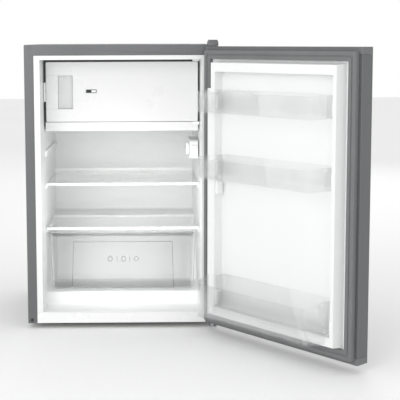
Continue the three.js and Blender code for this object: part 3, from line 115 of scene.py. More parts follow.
print("lights:", key.name, fill.name, rear.name, cavity.name)

# %% World
world = bpy.data.worlds.new("studio")
bpy.context.scene.world = world
world.use_nodes = True
sky = world.node_tree.nodes["Background"]
sky.inputs["Color"].default_value = (1, 1, 1, 1)
sky.inputs["Strength"].default_value = 0.87
backdrop = world.node_tree.nodes.new("ShaderNodeBackground")
backdrop.inputs["Color"].default_value = (1, 1, 1, 1)
seen = world.node_tree.nodes.new("ShaderNodeLightPath")
either = world.node_tree.nodes.new("ShaderNodeMixShader")
join_world = world.node_tree.links.new
join_world(seen.outputs["Is Camera Ray"], either.inputs["Fac"])
join_world(sky.outputs["Background"], either.inputs[1])
join_world(backdrop.outputs["Background"], either.inputs[2])
join_world(either.outputs["Shader"], world.node_tree.nodes["World Output"].inputs["Surface"])
bpy.context.scene.view_settings.view_transform = "Standard"
print("world light", sky.inputs["Strength"].default_value)

# %% [markdown]
# ## Effects that several finishes share
# Each effect is a small node group with named sockets. Colour drift is the slow change of tone
# across a moulding or a painted sheet. Relief is the fine unevenness that breaks up a reflection.
# Gloss spread leaves some places a little duller than others. Rubbed edges change tone where
# hands and cloths pass, and dust settles on what faces upwards.


# %% Node helpers
def add_node(tree, kind, sockets, **settings):
    made = tree.nodes.new(kind)
    for label, value in settings.items():
        setattr(made, label, value)
    for socket, value in sockets.items():
        if isinstance(value, bpy.types.NodeSocket):
            tree.links.new(value, made.inputs[socket])
        else:
            made.inputs[socket].default_value = value
    return made


def mix_tones(tree, factor, tone, other):
    made = add_node(tree, "ShaderNodeMix", {0: factor}, data_type="RGBA")
    for socket, value in ((6, tone), (7, other)):
        if isinstance(value, bpy.types.NodeSocket):
            tree.links.new(value, made.inputs[socket])
        else:
            made.inputs[socket].default_value = value
    return made.outputs[2]


def new_group(name, inputs, output):
    tree = bpy.data.node_groups.new(name, "ShaderNodeTree")
    for label, kind in inputs.items():
        tree.interface.new_socket(name=label, in_out="INPUT", socket_type="NodeSocket" + kind)
    tree.interface.new_socket(name=output[0], in_out="OUTPUT", socket_type="NodeSocket" + output[1])
    return tree, tree.nodes.new("NodeGroupInput").outputs, tree.nodes.new("NodeGroupOutput").inputs


print("node helpers ready")

# %% Colour drift
colour_drift, given, result = new_group(
    "colour_drift", {"Place": "Vector", "Scale": "Float", "Tone": "Color", "Other Tone": "Color"},
    ("Color", "Color"))
cloud = add_node(colour_drift, "ShaderNodeTexNoise",
    {"Vector": given["Place"], "Scale": given["Scale"], "Detail": 3})
part = add_node(colour_drift, "ShaderNodeMapRange",
    {"Value": cloud.outputs["Fac"], "From Min": 0.3, "From Max": 0.7})
colour_drift.links.new(mix_tones(colour_drift, part.outputs["Result"], given["Tone"], given["Other Tone"]),
    result["Color"])
print(colour_drift.name)

# %% Fine relief
fine_relief, given, result = new_group(
    "fine_relief", {"Place": "Vector", "Scale": "Float", "Grit": "Float"}, ("Height", "Float"))
swell = add_node(fine_relief, "ShaderNodeTexNoise",
    {"Vector": given["Place"], "Scale": given["Scale"], "Detail": 2})
finer = add_node(fine_relief, "ShaderNodeMath", {0: given["Scale"], 1: 7.0}, operation="MULTIPLY")
grit = add_node(fine_relief, "ShaderNodeTexNoise",
    {"Vector": given["Place"], "Scale": finer.outputs[0], "Detail": 1})
gritty = add_node(fine_relief, "ShaderNodeMath", {0: grit.outputs["Fac"], 1: given["Grit"]},
    operation="MULTIPLY")
both = add_node(fine_relief, "ShaderNodeMath", {0: swell.outputs["Fac"], 1: gritty.outputs[0]},
    operation="ADD")
fine_relief.links.new(both.outputs[0], result["Height"])
print(fine_relief.name)

# %% Gloss spread
gloss_spread, given, result = new_group(
    "gloss_spread", {"Place": "Vector", "Scale": "Float", "Smooth": "Float", "Dull": "Float"},
    ("Roughness", "Float"))
smear = add_node(gloss_spread, "ShaderNodeTexNoise",
    {"Vector": given["Place"], "Scale": given["Scale"], "Detail": 4})
level = add_node(gloss_spread, "ShaderNodeMapRange", {
    "Value": smear.outputs["Fac"], "From Min": 0.25, "From Max": 0.75, "To Min": given["Smooth"],
    "To Max": given["Dull"]})
gloss_spread.links.new(level.outputs["Result"], result["Roughness"])
print(gloss_spread.name)

# %% Rubbed edges
rubbed_edge, given, result = new_group(
    "rubbed_edge", {"Tone": "Color", "Rubbed Tone": "Color", "Amount": "Float"}, ("Color", "Color"))
shape = add_node(rubbed_edge, "ShaderNodeNewGeometry", {})
edge = add_node(rubbed_edge, "ShaderNodeMapRange", {
    "Value": shape.outputs["Pointiness"], "From Min": 0.51, "From Max": 0.6, "To Min": 0.0,
    "To Max": given["Amount"]})
rubbed_edge.links.new(mix_tones(rubbed_edge, edge.outputs["Result"], given["Tone"], given["Rubbed Tone"]),
    result["Color"])
print(rubbed_edge.name)

# %% Settled dust
settled_dust, given, result = new_group(
    "settled_dust", {"Place": "Vector", "Tone": "Color", "Dust Tone": "Color", "Amount": "Float"},
    ("Color", "Color"))
shape = add_node(settled_dust, "ShaderNodeNewGeometry", {})
facing = add_node(settled_dust, "ShaderNodeSeparateXYZ", {"Vector": shape.outputs["Normal"]})
upward = add_node(settled_dust, "ShaderNodeMapRange",
    {"Value": facing.outputs["Z"], "From Min": 0.3, "From Max": 1.0})
flecks = add_node(settled_dust, "ShaderNodeTexNoise",
    {"Vector": given["Place"], "Scale": 90.0, "Detail": 5})
patchy = add_node(settled_dust, "ShaderNodeMath", {0: upward.outputs["Result"], 1: flecks.outputs["Fac"]},
    operation="MULTIPLY")
lying = add_node(settled_dust, "ShaderNodeMath", {0: patchy.outputs[0], 1: given["Amount"]},
    operation="MULTIPLY")
settled_dust.links.new(mix_tones(settled_dust, lying.outputs[0], given["Tone"], given["Dust Tone"]),
    result["Color"])
print(settled_dust.name)

# %% [markdown]
# ## Finishes
# All finishes start the same way: a Principled shader whose colour, roughness and normal come
# from the shared effects, read in Object coordinates, which here are metres in the room. What
# makes each one itself, such as the grain of steel or the spangle of zinc, is added after that.


# %% Finish helper
finishes = {}


def new_finish(name, tone, other_tone, drift=6, gloss=(0.3, 0.4), smear=9, relief=(300, 0.3, 0.05),
    dust=0.0, rubbed=None):
    made = bpy.data.materials.new(name)
    made.use_nodes = True
    tree = made.node_tree
    shader = tree.nodes["Principled BSDF"]
    place = add_node(tree, "ShaderNodeTexCoord", {}).outputs["Object"]

    def effect(group, **sockets):
        step = add_node(tree, "ShaderNodeGroup", {}, node_tree=group)
        for label, value in sockets.items():
            socket = step.inputs[label.replace("_", " ")]
            if isinstance(value, bpy.types.NodeSocket):
                tree.links.new(value, socket)
            else:
                socket.default_value = value
        return step.outputs[0]

    colour = effect(colour_drift, Place=place, Scale=drift, Tone=(*tone, 1), Other_Tone=(*other_tone, 1))
    if rubbed:
        colour = effect(rubbed_edge, Tone=colour, Rubbed_Tone=(*rubbed, 1), Amount=0.5)
    if dust:
        colour = effect(settled_dust, Place=place, Tone=colour, Dust_Tone=(0.5, 0.49, 0.47, 1), Amount=dust)
    tree.links.new(colour, shader.inputs["Base Color"])
    tree.links.new(effect(gloss_spread, Place=place, Scale=smear, Smooth=gloss[0], Dull=gloss[1]),
        shader.inputs["Roughness"])
    scale, grit_share, depth = relief
    height = effect(fine_relief, Place=place, Scale=scale, Grit=grit_share)
    bump = add_node(tree, "ShaderNodeBump", {"Height": height, "Strength": 0.35, "Distance": depth * MM})
    tree.links.new(bump.outputs["Normal"], shader.inputs["Normal"])
    finishes[name] = made
    return tree, shader, place, colour, bump


print("finish helper ready")

# %% [markdown]
# ### Painted steel, galvanised steel and aluminium
# The case and the door skin are steel sheet with a silver-grey lacquer. Lacquer over rolled sheet
# keeps a faint upright grain and a slight orange peel. Galvanised parts show the spangle of their
# zinc crystals, and the icebox is rolled aluminium with a bright lengthwise grain.

# %% Grey lacquered steel
tree, shader, place, colour, bump = new_finish(
    "grey_lacquer", (0.135, 0.138, 0.141), (0.122, 0.125, 0.128), drift=2.2, gloss=(0.3, 0.42), smear=5,
    relief=(420, 0.4, 0.04), dust=0.06)
grain_place = add_node(tree, "ShaderNodeMapping", {"Vector": place, "Scale": (1600, 1600, 14)})
grain = add_node(tree, "ShaderNodeTexNoise",
    {"Vector": grain_place.outputs["Vector"], "Scale": 1.0, "Detail": 2})
grained = add_node(tree, "ShaderNodeMapRange",
    {"Value": grain.outputs["Fac"], "From Min": 0.3, "From Max": 0.7, "To Max": 0.22})
tree.links.new(mix_tones(tree, grained.outputs["Result"], colour, (0.18, 0.183, 0.187, 1)),
    shader.inputs["Base Color"])
shader.inputs["Metallic"].default_value = 0.35
shader.inputs["Coat Weight"].default_value = 0.12
shader.inputs["Coat Roughness"].default_value = 0.25
print("grey lacquer")

# %% Galvanised steel
tree, shader, place, colour, bump = new_finish(
    "zinc", (0.5, 0.51, 0.52), (0.42, 0.43, 0.44), drift=9, gloss=(0.32, 0.5), smear=30,
    relief=(200, 0.5, 0.05), dust=0.25)
crystals = add_node(tree, "ShaderNodeTexVoronoi", {"Vector": place, "Scale": 130})
flake = add_node(tree, "ShaderNodeSeparateColor", {"Color": crystals.outputs["Color"]})
sparkle = add_node(tree, "ShaderNodeMapRange", {"Value": flake.outputs["Red"], "To Max": 0.5})
tree.links.new(mix_tones(tree, sparkle.outputs["Result"], colour, (0.62, 0.63, 0.64, 1)),
    shader.inputs["Base Color"])
shader.inputs["Metallic"].default_value = 0.85
print("zinc")

# %% Rolled aluminium
tree, shader, place, colour, bump = new_finish(
    "rolled_aluminium", (0.68, 0.69, 0.7), (0.6, 0.61, 0.62), drift=8, gloss=(0.32, 0.5), smear=16,
    relief=(160, 0.3, 0.06))
roll_place = add_node(tree, "ShaderNodeMapping", {"Vector": place, "Scale": (1200, 18, 1200)})
rolled = add_node(tree, "ShaderNodeTexNoise",
    {"Vector": roll_place.outputs["Vector"], "Scale": 1.0, "Detail": 2})
lines = add_node(tree, "ShaderNodeMapRange",
    {"Value": rolled.outputs["Fac"], "From Min": 0.3, "From Max": 0.7, "To Max": 0.3})
tree.links.new(mix_tones(tree, lines.outputs["Result"], colour, (0.8, 0.81, 0.82, 1)),
    shader.inputs["Base Color"])
shader.inputs["Metallic"].default_value = 0.8
print("aluminium")

# %% Copper
tree, shader, place, colour, bump = new_finish(
    "copper_pipe", (0.72, 0.3, 0.16), (0.42, 0.17, 0.09), drift=28, gloss=(0.25, 0.5), smear=60,
    relief=(300, 0.4, 0.04), dust=0.2)
shader.inputs["Metallic"].default_value = 0.95
print("copper")

# %% [markdown]
# ### Mouldings
# The liners are vacuum formed from white polystyrene sheet: smooth, faintly wavy, with a soft
# gloss. Strips and small parts are injection moulded and a little glossier. The flap, its tray and
# the thermostat housing take a darker copy of the white, which is painted shade, and the grip's scoop a
# darker one still, also painted shade.
# The grey caps have a fine spark-eroded texture, so they look duller than the lacquer beside
# them. Marks are inked in two greys.

# %% White and grey plastics
new_finish("white_liner", (0.86, 0.87, 0.865), (0.84, 0.852, 0.847), drift=3, gloss=(0.3, 0.42), smear=6,
    relief=(60, 0.25, 0.12))
new_finish("white_moulding", (0.9, 0.905, 0.9), (0.88, 0.887, 0.882), drift=7, gloss=(0.22, 0.32), smear=12,
    relief=(180, 0.3, 0.05))
# A darker copy of the white moulding: painted shade on the icebox flap, its tray and the thermostat
# housing.
new_finish("painted_shade_white", (0.77, 0.775, 0.77), (0.745, 0.752, 0.747), drift=4, gloss=(0.24, 0.34), smear=9,
    relief=(90, 0.3, 0.06))
# A darker copy still: painted shade in the grip's scoop and on its two fine lines.
new_finish("deeper_painted_shade_white", (0.66, 0.665, 0.66), (0.62, 0.625, 0.62), drift=7, gloss=(0.3, 0.4), smear=12,
    relief=(180, 0.3, 0.05))
new_finish("grey_cap", (0.14, 0.143, 0.146), (0.125, 0.128, 0.131), drift=14, gloss=(0.42, 0.56), smear=20,
           relief=(1500, 0.6, 0.09), dust=0.08, rubbed=(0.26, 0.263, 0.267))
new_finish("dark_moulding", (0.13, 0.133, 0.137), (0.105, 0.108, 0.112), drift=12, gloss=(0.4, 0.58),
    smear=24,
           relief=(1300, 0.6, 0.09), dust=0.1, rubbed=(0.2, 0.203, 0.207))
new_finish("pale_print", (0.42, 0.43, 0.435), (0.36, 0.37, 0.375), drift=60, gloss=(0.4, 0.55), smear=80,
    relief=(900, 0.5, 0.02))
new_finish("grey_print", (0.2, 0.207, 0.21), (0.16, 0.167, 0.17), drift=60, gloss=(0.4, 0.55), smear=80,
    relief=(900, 0.5, 0.02))
print("mouldings:", len(finishes), "finishes so far")

# %% [markdown]
# ### Rubber, paint and foam
# The door gasket is soft grey vinyl with a faint sheen and a fine uneven surface. The compressor and its
# condenser are dipped in black enamel that dries slightly wrinkled. The foam shows only at a cut edge.

# %% Gasket, rubber, enamel, foam
tree, shader, place, colour, bump = new_finish(
    "gasket_vinyl", (0.17, 0.173, 0.176), (0.15, 0.153, 0.156), drift=10, gloss=(0.5, 0.66), smear=30,
    relief=(500, 0.5, 0.07), dust=0.06)
shader.inputs["Sheen Weight"].default_value = 0.15
new_finish("black_rubber", (0.018, 0.018, 0.019), (0.03, 0.03, 0.031), drift=30, gloss=(0.6, 0.8), smear=60,
    relief=(900, 0.7, 0.12), dust=0.5)
tree, shader, place, colour, bump = new_finish(
    "black_enamel", (0.012, 0.013, 0.014), (0.02, 0.021, 0.022), drift=16, gloss=(0.25, 0.5), smear=40,
    relief=(700, 0.5, 0.2), dust=0.35)
shader.inputs["Coat Weight"].default_value = 0.3
shader.inputs["Coat Roughness"].default_value = 0.2
tree, shader, place, colour, bump = new_finish(
    "foam_fill", (0.78, 0.7, 0.42), (0.68, 0.58, 0.32), drift=30, gloss=(0.85, 0.95), smear=60,
    relief=(300, 0.8, 1.2))
print("rubber, enamel, foam")

# %% [markdown]
# ### Clear mouldings and glass
# Bins and drawer are crystal polystyrene: clear, a little blue-green in thick places, with faint
# flow marks that soften the gloss. The shelves are float glass, greener, and quite smooth.


# %% Clear finishes
def clear_finish(name, tone, other_tone, gloss, bend, relief, body):
    tree, shader, place, colour, bump = new_finish(name, tone, other_tone, drift=9, gloss=gloss, smear=18,
        relief=relief)
    shader.inputs["Transmission Weight"].default_value = 1.0
    shader.inputs["IOR"].default_value = bend
    shader.inputs["Alpha"].default_value = body
    return shader


clear_finish("clear_styrene", (0.985, 0.995, 0.992), (0.975, 0.99, 0.986), (0.02, 0.09), 1.45,
    (40, 0.1, 0.05), 0.2)
clear_finish("float_glass", (0.97, 0.99, 0.98), (0.96, 0.985, 0.975), (0.0, 0.03), 1.45, (12, 0.0, 0.02),
    0.45)
clear_finish("frosted_styrene", (0.95, 0.96, 0.955), (0.93, 0.94, 0.935), (0.25, 0.4), 1.48,
    (300, 0.3, 0.1), 0.8)
print("clear finishes")

# %% [markdown]
# ## Dress the CAD nodes
# Every node first takes the finish of its material slot. Many keep their CAD shape and only need
# this. The rest are replaced below by a rounded copy.

# %% Finish of each slot
SLOT_FINISH = {
    "grey_steel": "grey_lacquer", "cap_grey": "grey_cap", "liner_white": "white_liner",
    "white_plastic": "white_moulding", "dark_plastic": "dark_moulding", "gasket_grey": "gasket_vinyl",
    "clear_plastic": "clear_styrene", "clear_glass": "float_glass", "foam": "foam_fill",
    "zinc_steel": "zinc", "aluminium": "rolled_aluminium", "black_paint": "black_enamel",
    "black_rubber": "black_rubber", "copper": "copper_pipe",
}
node_slot = {part["node"]: part["material_slot"] for part in frame["record"]["subparts"]}
node_body = {node: body for body, nodes in frame["record"]["behaviour"]["bodies"].items() for node in nodes}
for node, piece in frame["nodes"].items():
    piece.data.materials.clear()
    piece.data.materials.append(finishes[SLOT_FINISH[node_slot[node]]])
print("dressed", len(node_slot), "nodes")

# %% [markdown]
# ## Rounded copies
# Pressed steel and moulded plastic have no knife edges, and a thin highlight along each edge is
# what makes a surface look real. A CAD node is loose triangles, so a copy is welded, its flat
# areas are merged, and a Bevel modifier rounds what is left. The copy then stands for the node.


# %% Selection helpers
def select_only(*objects):
    if bpy.context.mode != "OBJECT":
        bpy.ops.object.mode_set(mode="OBJECT")
    bpy.ops.object.select_all(action="DESELECT")
    for obj in objects:
        obj.select_set(True)
    bpy.context.view_layer.objects.active = objects[0]


def in_edit(obj, *steps):
    select_only(obj)
    bpy.ops.object.mode_set(mode="EDIT")
    bpy.ops.mesh.select_all(action="SELECT")
    for step in steps:
        step()
    bpy.ops.object.mode_set(mode="OBJECT")


def apply_modifier(obj, kind, **settings):
    select_only(obj)
    made = obj.modifiers.new(kind.lower(), kind)
    for label, value in settings.items():
        setattr(made, label, value)
    bpy.ops.object.modifier_apply(modifier=made.name)


def join_body(obj, body, finish):
    obj.data.materials.clear()
    obj.data.materials.append(finishes[finish])
    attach(obj, body)
    return obj


print("selection helpers ready")


# %% Round a node
def rounded(node, radius_mm, segments=2, finish=None, angle=32):
    obj = bpy.data.objects.new("round_" + node, frame["nodes"][node].data.copy())
    bpy.context.collection.objects.link(obj)
    in_edit(obj,
            lambda: bpy.ops.mesh.remove_doubles(threshold=0.00002),
            lambda: bpy.ops.mesh.dissolve_limited(angle_limit=math.radians(0.5)),
            lambda: bpy.ops.mesh.vert_connect_concave())
    if radius_mm:
        apply_modifier(obj, "BEVEL", width=radius_mm * MM, segments=segments, limit_method="ANGLE",
                       angle_limit=math.radians(angle),
                       miter_outer="MITER_ARC" if segments > 1 else "MITER_SHARP")
    select_only(obj)
    bpy.ops.object.shade_smooth_by_angle(angle=math.radians(48))
    apply_modifier(obj, "WEIGHTED_NORMAL", keep_sharp=True, weight=60)
    join_body(obj, node_body[node], finish or SLOT_FINISH[node_slot[node]])
    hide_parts(node)
    return obj


ROUNDED = {
    "outer_case": 1.2, "inner_liner": 1.5, "base_plinth": 1.2, "icebox_flap_shell": 2.0, "icebox_tray": 1.0,
    "icebox_frame": 1.0, "thermostat_housing": 2.5, "lamp_lens": 0.8, "thermostat_knob": 0.8,
    "light_switch_button": 0.6, "flap_arm_lower": 1.0, "flap_arm_upper": 1.0, "flap_latch_catch": 1.0,
    "top_left_plug": 0.3, "bottom_left_plug": 0.3, "top_hinge_cover": 1.6, "top_hinge_bracket": 0.4,
    "bottom_hinge_bracket": 0.4, "hinge_screw_1": 0.3, "hinge_screw_2": 0.3, "door_skin": 1.2,
    "door_top_cap": 1.4, "door_bottom_cap": 1.4, "door_liner": 1.5, "door_gasket": 1.2,
    "shelf_front_strip": 1.0,
    "shelf_rear_strip": 1.0, "crisper_cover_front_strip": 1.0, "crisper_cover_rear_strip": 1.0,
    "shelf_glass": 0.4, "crisper_cover_glass": 0.4, "crisper_drawer": 0.8, "top_bin": 0.7,
    "middle_bin": 0.7,
    "bottom_bin": 0.7, "flap_badge": 0.25, "evaporator_box": 0.8, "compressor": 1.0, "terminal_cover": 1.5,
    "drip_tray": 0.8, "back_panel": 0.4, "compressor_rail": 0.5, "base_sheet": 0.4, "cord_inlet": 0.8,
    "front_foot_left": 0.8, "front_foot_right": 0.8, "rear_foot_left": 1.0, "rear_foot_right": 1.0,
    "icebox_flap_back": 0.6, "filter_drier": 0.0, "suction_pipe": 0.0, "discharge_pipe": 0.0,
    "condenser_coil": 0.0,
}
NODE_FINISH = {
    # The flap, its tray and the housing take the darker white, which is painted shade.
    "icebox_flap_shell": "painted_shade_white", "icebox_tray": "painted_shade_white", "thermostat_housing": "painted_shade_white",
    "bottom_left_plug": "black_enamel",
}
round_piece = {}
for node, radius in ROUNDED.items():
    round_piece[node] = rounded(node, radius, finish=NODE_FINISH.get(node))
print("rounded", len(round_piece), "nodes,", sum(len(p.data.polygons) for p in round_piece.values()),
    "faces")

# %% [markdown]
# ## Small pieces
# The CAD model holds the pieces that carry, slide or turn. What follows is the fine work on them:
# raised outlines and signs, the scoop of the grip, the marks round the dial, the wires of the
# condenser and the rubber mounts. Each starts as a primitive at its real place and is shaped in
# edit mode, so its size can be read off the node that it sits on.


# %% Modelling helpers
SAME_PLACE = 1e-5  # vertices this near along an axis are in one row


def settle(obj, name, body, finish):
    select_only(obj)
    bpy.ops.object.transform_apply(location=True, rotation=True, scale=True)
    in_edit(obj, lambda: bpy.ops.mesh.normals_make_consistent(inside=False))
    bpy.ops.object.shade_smooth_by_angle(angle=math.radians(40))
    obj.name = name
    print(name, len(obj.data.polygons), "faces")
    return join_body(obj, body, finish)


def extrude(step):
    bpy.ops.mesh.extrude_region_move(TRANSFORM_OT_translate={"value": step})


def pick_vertices(obj, wanted):
    select_only(obj)
    for part in (*obj.data.polygons, *obj.data.edges):
        part.select = False
    for vertex in obj.data.vertices:
        vertex.select = wanted(vertex.co)
    bpy.ops.object.mode_set(mode="EDIT")


def merge(pieces):
    select_only(*pieces)
    bpy.ops.object.join()
    return bpy.context.active_object


def soft_block(centre, size, radius=0.0003, turn=(0, 0, 0)):
    bpy.ops.mesh.primitive_cube_add(size=1, location=centre, rotation=turn, scale=size)
    obj = bpy.context.active_object
    bpy.ops.object.transform_apply(location=False, rotation=False, scale=True)
    apply_modifier(obj, "BEVEL", width=radius, segments=2)
    return obj


print("modelling helpers ready")

# %% [markdown]
# ### Marks on the crisper
# The drawer's front carries a raised outline and three small signs for what is kept in it. They
# are moulded in one with the drawer and inked. A flat shape is inset, its middle is taken out and
# what is left is pulled forward. The front leans by a couple of degrees, so the marks lean too.

# %% Crisper outline
crisper_low, crisper_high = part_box("crisper_drawer")
LEAN = math.atan2(7, 178)  # the front moves back 7 mm over its height of 178 mm
LIP_REACH = 5 * MM
CRISPER_FACE = crisper_low.y + LIP_REACH
crisper_middle_x = (crisper_low.x + crisper_high.x) / 2


def crisper_front_y(z):
    return CRISPER_FACE + (crisper_high.z - z) * math.tan(LEAN)


def pick_edge_row(obj, end):
    select_only(obj)
    line = end(v.co.y for v in obj.data.vertices)
    pick_vertices(obj, lambda place: abs(place.y - line) < SAME_PLACE)


def flat_ring(x, z, width, height, line, sides=4, pull=0, narrow=1, corner=0):
    place = (x, crisper_front_y(z) + 0.1 * MM, z)
    bpy.ops.mesh.primitive_circle_add(
        vertices=sides, radius=math.sqrt(0.5) if sides == 4 else 0.5, fill_type="NGON", location=place)
    obj = bpy.context.active_object
    quarter = math.pi / 4 if sides == 4 else 0
    obj.rotation_euler = (0, 0, quarter)
    bpy.ops.object.transform_apply(location=False, rotation=True, scale=False)
    obj.scale = (width, height, 1)
    bpy.ops.object.transform_apply(location=False, rotation=False, scale=True)
    pick_edge_row(obj, max)
    bpy.ops.transform.translate(value=(0, pull, 0))
    pick_edge_row(obj, min)
    bpy.ops.transform.resize(value=(narrow, 1, 1))
    bpy.ops.mesh.select_all(action="SELECT")
    if corner:
        bpy.ops.mesh.bevel(offset=corner, segments=4, affect="VERTICES")
        bpy.ops.mesh.select_all(action="SELECT")
    bpy.ops.mesh.inset(thickness=line)
    bpy.ops.mesh.delete(type="FACE")
    bpy.ops.mesh.select_all(action="SELECT")
    extrude((0, 0, 0.8 * MM))
    bpy.ops.object.mode_set(mode="OBJECT")
    obj.rotation_euler = (math.pi / 2 - LEAN, 0, 0)
    return obj


OUTLINE_HIGH = crisper_high.z - 31 * MM
OUTLINE_LOW = crisper_low.z + 5 * MM
outline_middle = (OUTLINE_HIGH + OUTLINE_LOW) / 2
outline_ring = flat_ring(
    crisper_middle_x, outline_middle, 302 * MM, OUTLINE_HIGH - OUTLINE_LOW, 1.5 * MM, narrow=1.03)
settle(outline_ring, "crisper_outline", node_body["crisper_drawer"], "grey_print")

# %% Crisper border
crisper_height = crisper_high.z - crisper_low.z
border_ring = flat_ring(
    crisper_middle_x, crisper_low.z + crisper_height / 2, crisper_high.x - crisper_low.x - 9 * MM,
    crisper_height - 4 * MM, 1.6 * MM, narrow=0.965, corner=12 * MM)
settle(border_ring, "crisper_border", node_body["crisper_drawer"], "pale_print")

# %% Crisper signs
SIGN_HIGH = crisper_high.z - 84 * MM
signs = [
    flat_ring(crisper_middle_x - 39 * MM, SIGN_HIGH, 15 * MM, 15 * MM, 1.5 * MM, sides=20, pull=5 * MM),
    flat_ring(crisper_middle_x + 2 * MM, SIGN_HIGH, 14 * MM, 17 * MM, 1.5 * MM, sides=20),
    flat_ring(crisper_middle_x + 41 * MM, SIGN_HIGH, 16 * MM, 12 * MM, 1.5 * MM, sides=20, pull=3 * MM),
]
for across in (-18, 21):
    bar_place = (crisper_middle_x + across * MM, crisper_front_y(SIGN_HIGH), SIGN_HIGH)
    signs.append(soft_block(bar_place, (1.2 * MM, 1 * MM, 18 * MM), turn=(-LEAN, 0, 0)))
settle(merge(signs), "crisper_signs", node_body["crisper_drawer"], "grey_print")

# %% [markdown]
# ### Icebox flap
# The grip is a scoop that fingers reach into from the left. Its floor falls away in a curve and
# comes back up at the right, and less light reaches it, so its colour is a darker white: painted shade. A
# grid gives it columns, each column is moved to its depth, and Solidify gives the wall. Two fine lines run
# from the scoop to the flap's free edge, in the same painted-shade white. The badge is a blank plate with a
# dark half and a light half, and carries no words.

# %% Grip scoop
flap_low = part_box("icebox_flap_shell")[0]
GRIP_X = flap_low.x + 58 * MM
GRIP_Z = flap_low.z + 88 * MM
SCOOP_DEPTHS = (3, 5.5, 7.5, 9, 10, 10.6, 10.6, 9.5, 4)  # from the left, in mm
bpy.ops.mesh.primitive_grid_add(
    x_subdivisions=8, y_subdivisions=6, size=1, location=(GRIP_X, flap_low.y, GRIP_Z),
    rotation=(math.pi / 2, 0, 0))
scoop = bpy.context.active_object
scoop.scale = (42.5 * MM, 98.5 * MM, 1)
bpy.ops.object.transform_apply(location=True, rotation=True, scale=True)
columns = sorted({round(v.co.x, 5) for v in scoop.data.vertices})
for column, depth in zip(columns, SCOOP_DEPTHS):
    pick_vertices(scoop, lambda place, column=column: abs(place.x - column) < SAME_PLACE)
    bpy.ops.transform.translate(value=(0, depth * MM, 0))
    bpy.ops.object.mode_set(mode="OBJECT")
apply_modifier(scoop, "SOLIDIFY", thickness=0.9 * MM, offset=0)
# The scoop's darker white is painted shade in the hollow.
settle(scoop, "flap_grip_scoop", node_body["icebox_flap_shell"], "deeper_painted_shade_white")

# %% Tab lines
tab_lines = [
    soft_block((flap_low.x + 18 * MM, flap_low.y, GRIP_Z + side * 50 * MM), (35 * MM, 0.7 * MM, 0.8 * MM))
    for side in (-1, 1)
]
# The lines take the scoop's darker white, which is painted shade.
settle(merge(tab_lines), "flap_tab_lines", node_body["icebox_flap_shell"],
    "deeper_painted_shade_white")

# %% Badge halves
badge_low, badge_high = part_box("flap_badge")
badge_middle = (badge_low + badge_high) / 2
badge_front = badge_low.y
dark_half = soft_block((badge_middle.x - 7.5 * MM, badge_front, badge_middle.z),
    (13 * MM, 0.8 * MM, 8 * MM))
settle(dark_half, "flap_badge_dark_half", node_body["flap_badge"], "black_rubber")
light_half = soft_block((badge_middle.x + 7.5 * MM, badge_front, badge_middle.z),
    (13 * MM, 0.8 * MM, 6 * MM))
settle(light_half, "flap_badge_light_half", node_body["flap_badge"], "white_moulding")

# %% [markdown]
# ### Dial marks
# The thermostat has a pointer on its knob and a fan of short marks round it, without letters.
# A mark is a small softened bar, set at its angle round the knob's axle.

# %% Pointer and marks
knob_low, knob_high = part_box("thermostat_knob")
knob_middle = (knob_low + knob_high) / 2
knob_radius = (knob_high.z - knob_low.z) / 2
housing_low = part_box("thermostat_housing")[0]
pointer = soft_block(
    (knob_low.x, knob_middle.y, knob_middle.z + knob_radius * 0.45), (1.6 * MM, 3 * MM, knob_radius * 0.8),
    0.5 * MM)
settle(pointer, "knob_pointer", node_body["thermostat_knob"], "grey_print")
marks = []
for step in range(7):
    turn = math.radians(-120 + 40 * step)
    reach = knob_radius + 3.5 * MM
    spot = (housing_low.x, knob_middle.y + reach * math.sin(turn), knob_middle.z + reach * math.cos(turn))
    marks.append(soft_block(spot, (0.8 * MM, 1.2 * MM, (2.4 + 0.4 * step) * MM), 0.25 * MM, (-turn, 0, 0)))
settle(merge(marks), "dial_marks", node_body["thermostat_housing"], "grey_print")

# %% [markdown]
# ### Condenser wires
# The condenser on the back is a bent steel tube with thin upright wires welded across it, which
# shed its heat. The wires are alike and evenly spaced, so one is modelled and an Array makes the
# row. Only its two end faces are inset, so faces are picked in face mode, with nothing else selected.

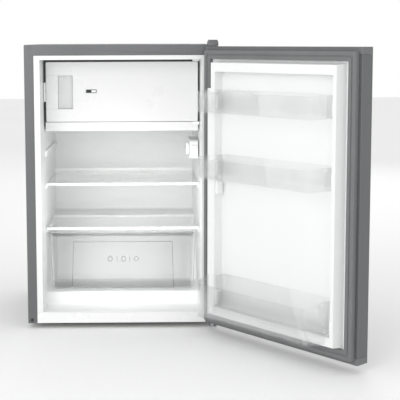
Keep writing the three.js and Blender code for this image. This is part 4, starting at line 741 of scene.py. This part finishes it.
# %% Condenser wires
coil_low, coil_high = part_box("condenser_coil")
WIRE_COUNT = 42
WIRE_INSET = 22 * MM
wire_pitch = (coil_high.x - coil_low.x - 2 * WIRE_INSET) / (WIRE_COUNT - 1)
TUBE_BACK = coil_high.y - 1 * MM
wire_length = coil_high.z - coil_low.z + 6 * MM
bpy.ops.mesh.primitive_cylinder_add(
    vertices=6, radius=0.75 * MM, depth=wire_length,
    location=(coil_low.x + WIRE_INSET, TUBE_BACK, (coil_low.z + coil_high.z) / 2))
wires = bpy.context.active_object
in_edit(wires, lambda: bpy.ops.mesh.select_mode(type="FACE"),
    lambda: bpy.ops.mesh.select_all(action="DESELECT"))
for face in wires.data.polygons:
    face.select = abs(face.normal.z) > 0.9
bpy.ops.object.mode_set(mode="EDIT")
bpy.ops.mesh.inset(thickness=0.3 * MM, use_individual=True)
bpy.ops.object.mode_set(mode="OBJECT")
apply_modifier(wires, "ARRAY", count=WIRE_COUNT, use_relative_offset=False, use_constant_offset=True,
               constant_offset_displace=(wire_pitch, 0, 0))
settle(wires, "condenser_wires", node_body["condenser_coil"], "black_enamel")

# %% [markdown]
# ### Compressor mounts
# The compressor stands on four rubber bushes, so that its hum stays out of the case. A bush is
# waisted: a disc is pulled up, drawn in, pulled up again and let out.

# %% Rubber bushes
rail_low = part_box("compressor_rail")[0]
pot_low, pot_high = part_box("compressor")
BUSH_RADIUS = 8 * MM
BUSH_FOOT = rail_low.z + 2.5 * MM
bush_spots = [
    ((pot_low.x + pot_high.x) / 2 + across * 82 * MM, (pot_low.y + pot_high.y) / 2 + along * 44 * MM)
    for across in (-1, 1) for along in (-1, 1)
]


def waisted(spot, foot, radius, rises, waist, sides=20):
    bpy.ops.mesh.primitive_circle_add(
        vertices=sides, radius=radius, fill_type="NGON", location=(spot[0], spot[1], foot))
    obj = bpy.context.active_object
    bpy.ops.object.mode_set(mode="EDIT")
    extrude((0, 0, rises[0]))
    bpy.ops.transform.resize(value=(waist, waist, 1))
    extrude((0, 0, rises[1]))
    extrude((0, 0, 0.5 * MM))
    bpy.ops.transform.resize(value=(1 / waist, 1 / waist, 1))
    extrude((0, 0, rises[2]))
    bpy.ops.object.mode_set(mode="OBJECT")
    return obj


bushes = [waisted(spot, BUSH_FOOT, BUSH_RADIUS, (4 * MM, 4 * MM, 4.5 * MM), 0.72) for spot in bush_spots]
settle(merge(bushes), "compressor_bushes", "cabinet", "black_rubber")

# %% [markdown]
# ## Floor finish
# The floor is a plain pale sweep, a touch uneven like painted board, and it is not part of the object.

# %% Floor finish
new_finish("pale_floor", (0.98, 0.98, 0.98), (0.96, 0.96, 0.96), drift=1, gloss=(0.6, 0.7), smear=3,
    relief=(40, 0.2, 0.1))
floor.data.materials.append(finishes["pale_floor"])
print("floor finished")
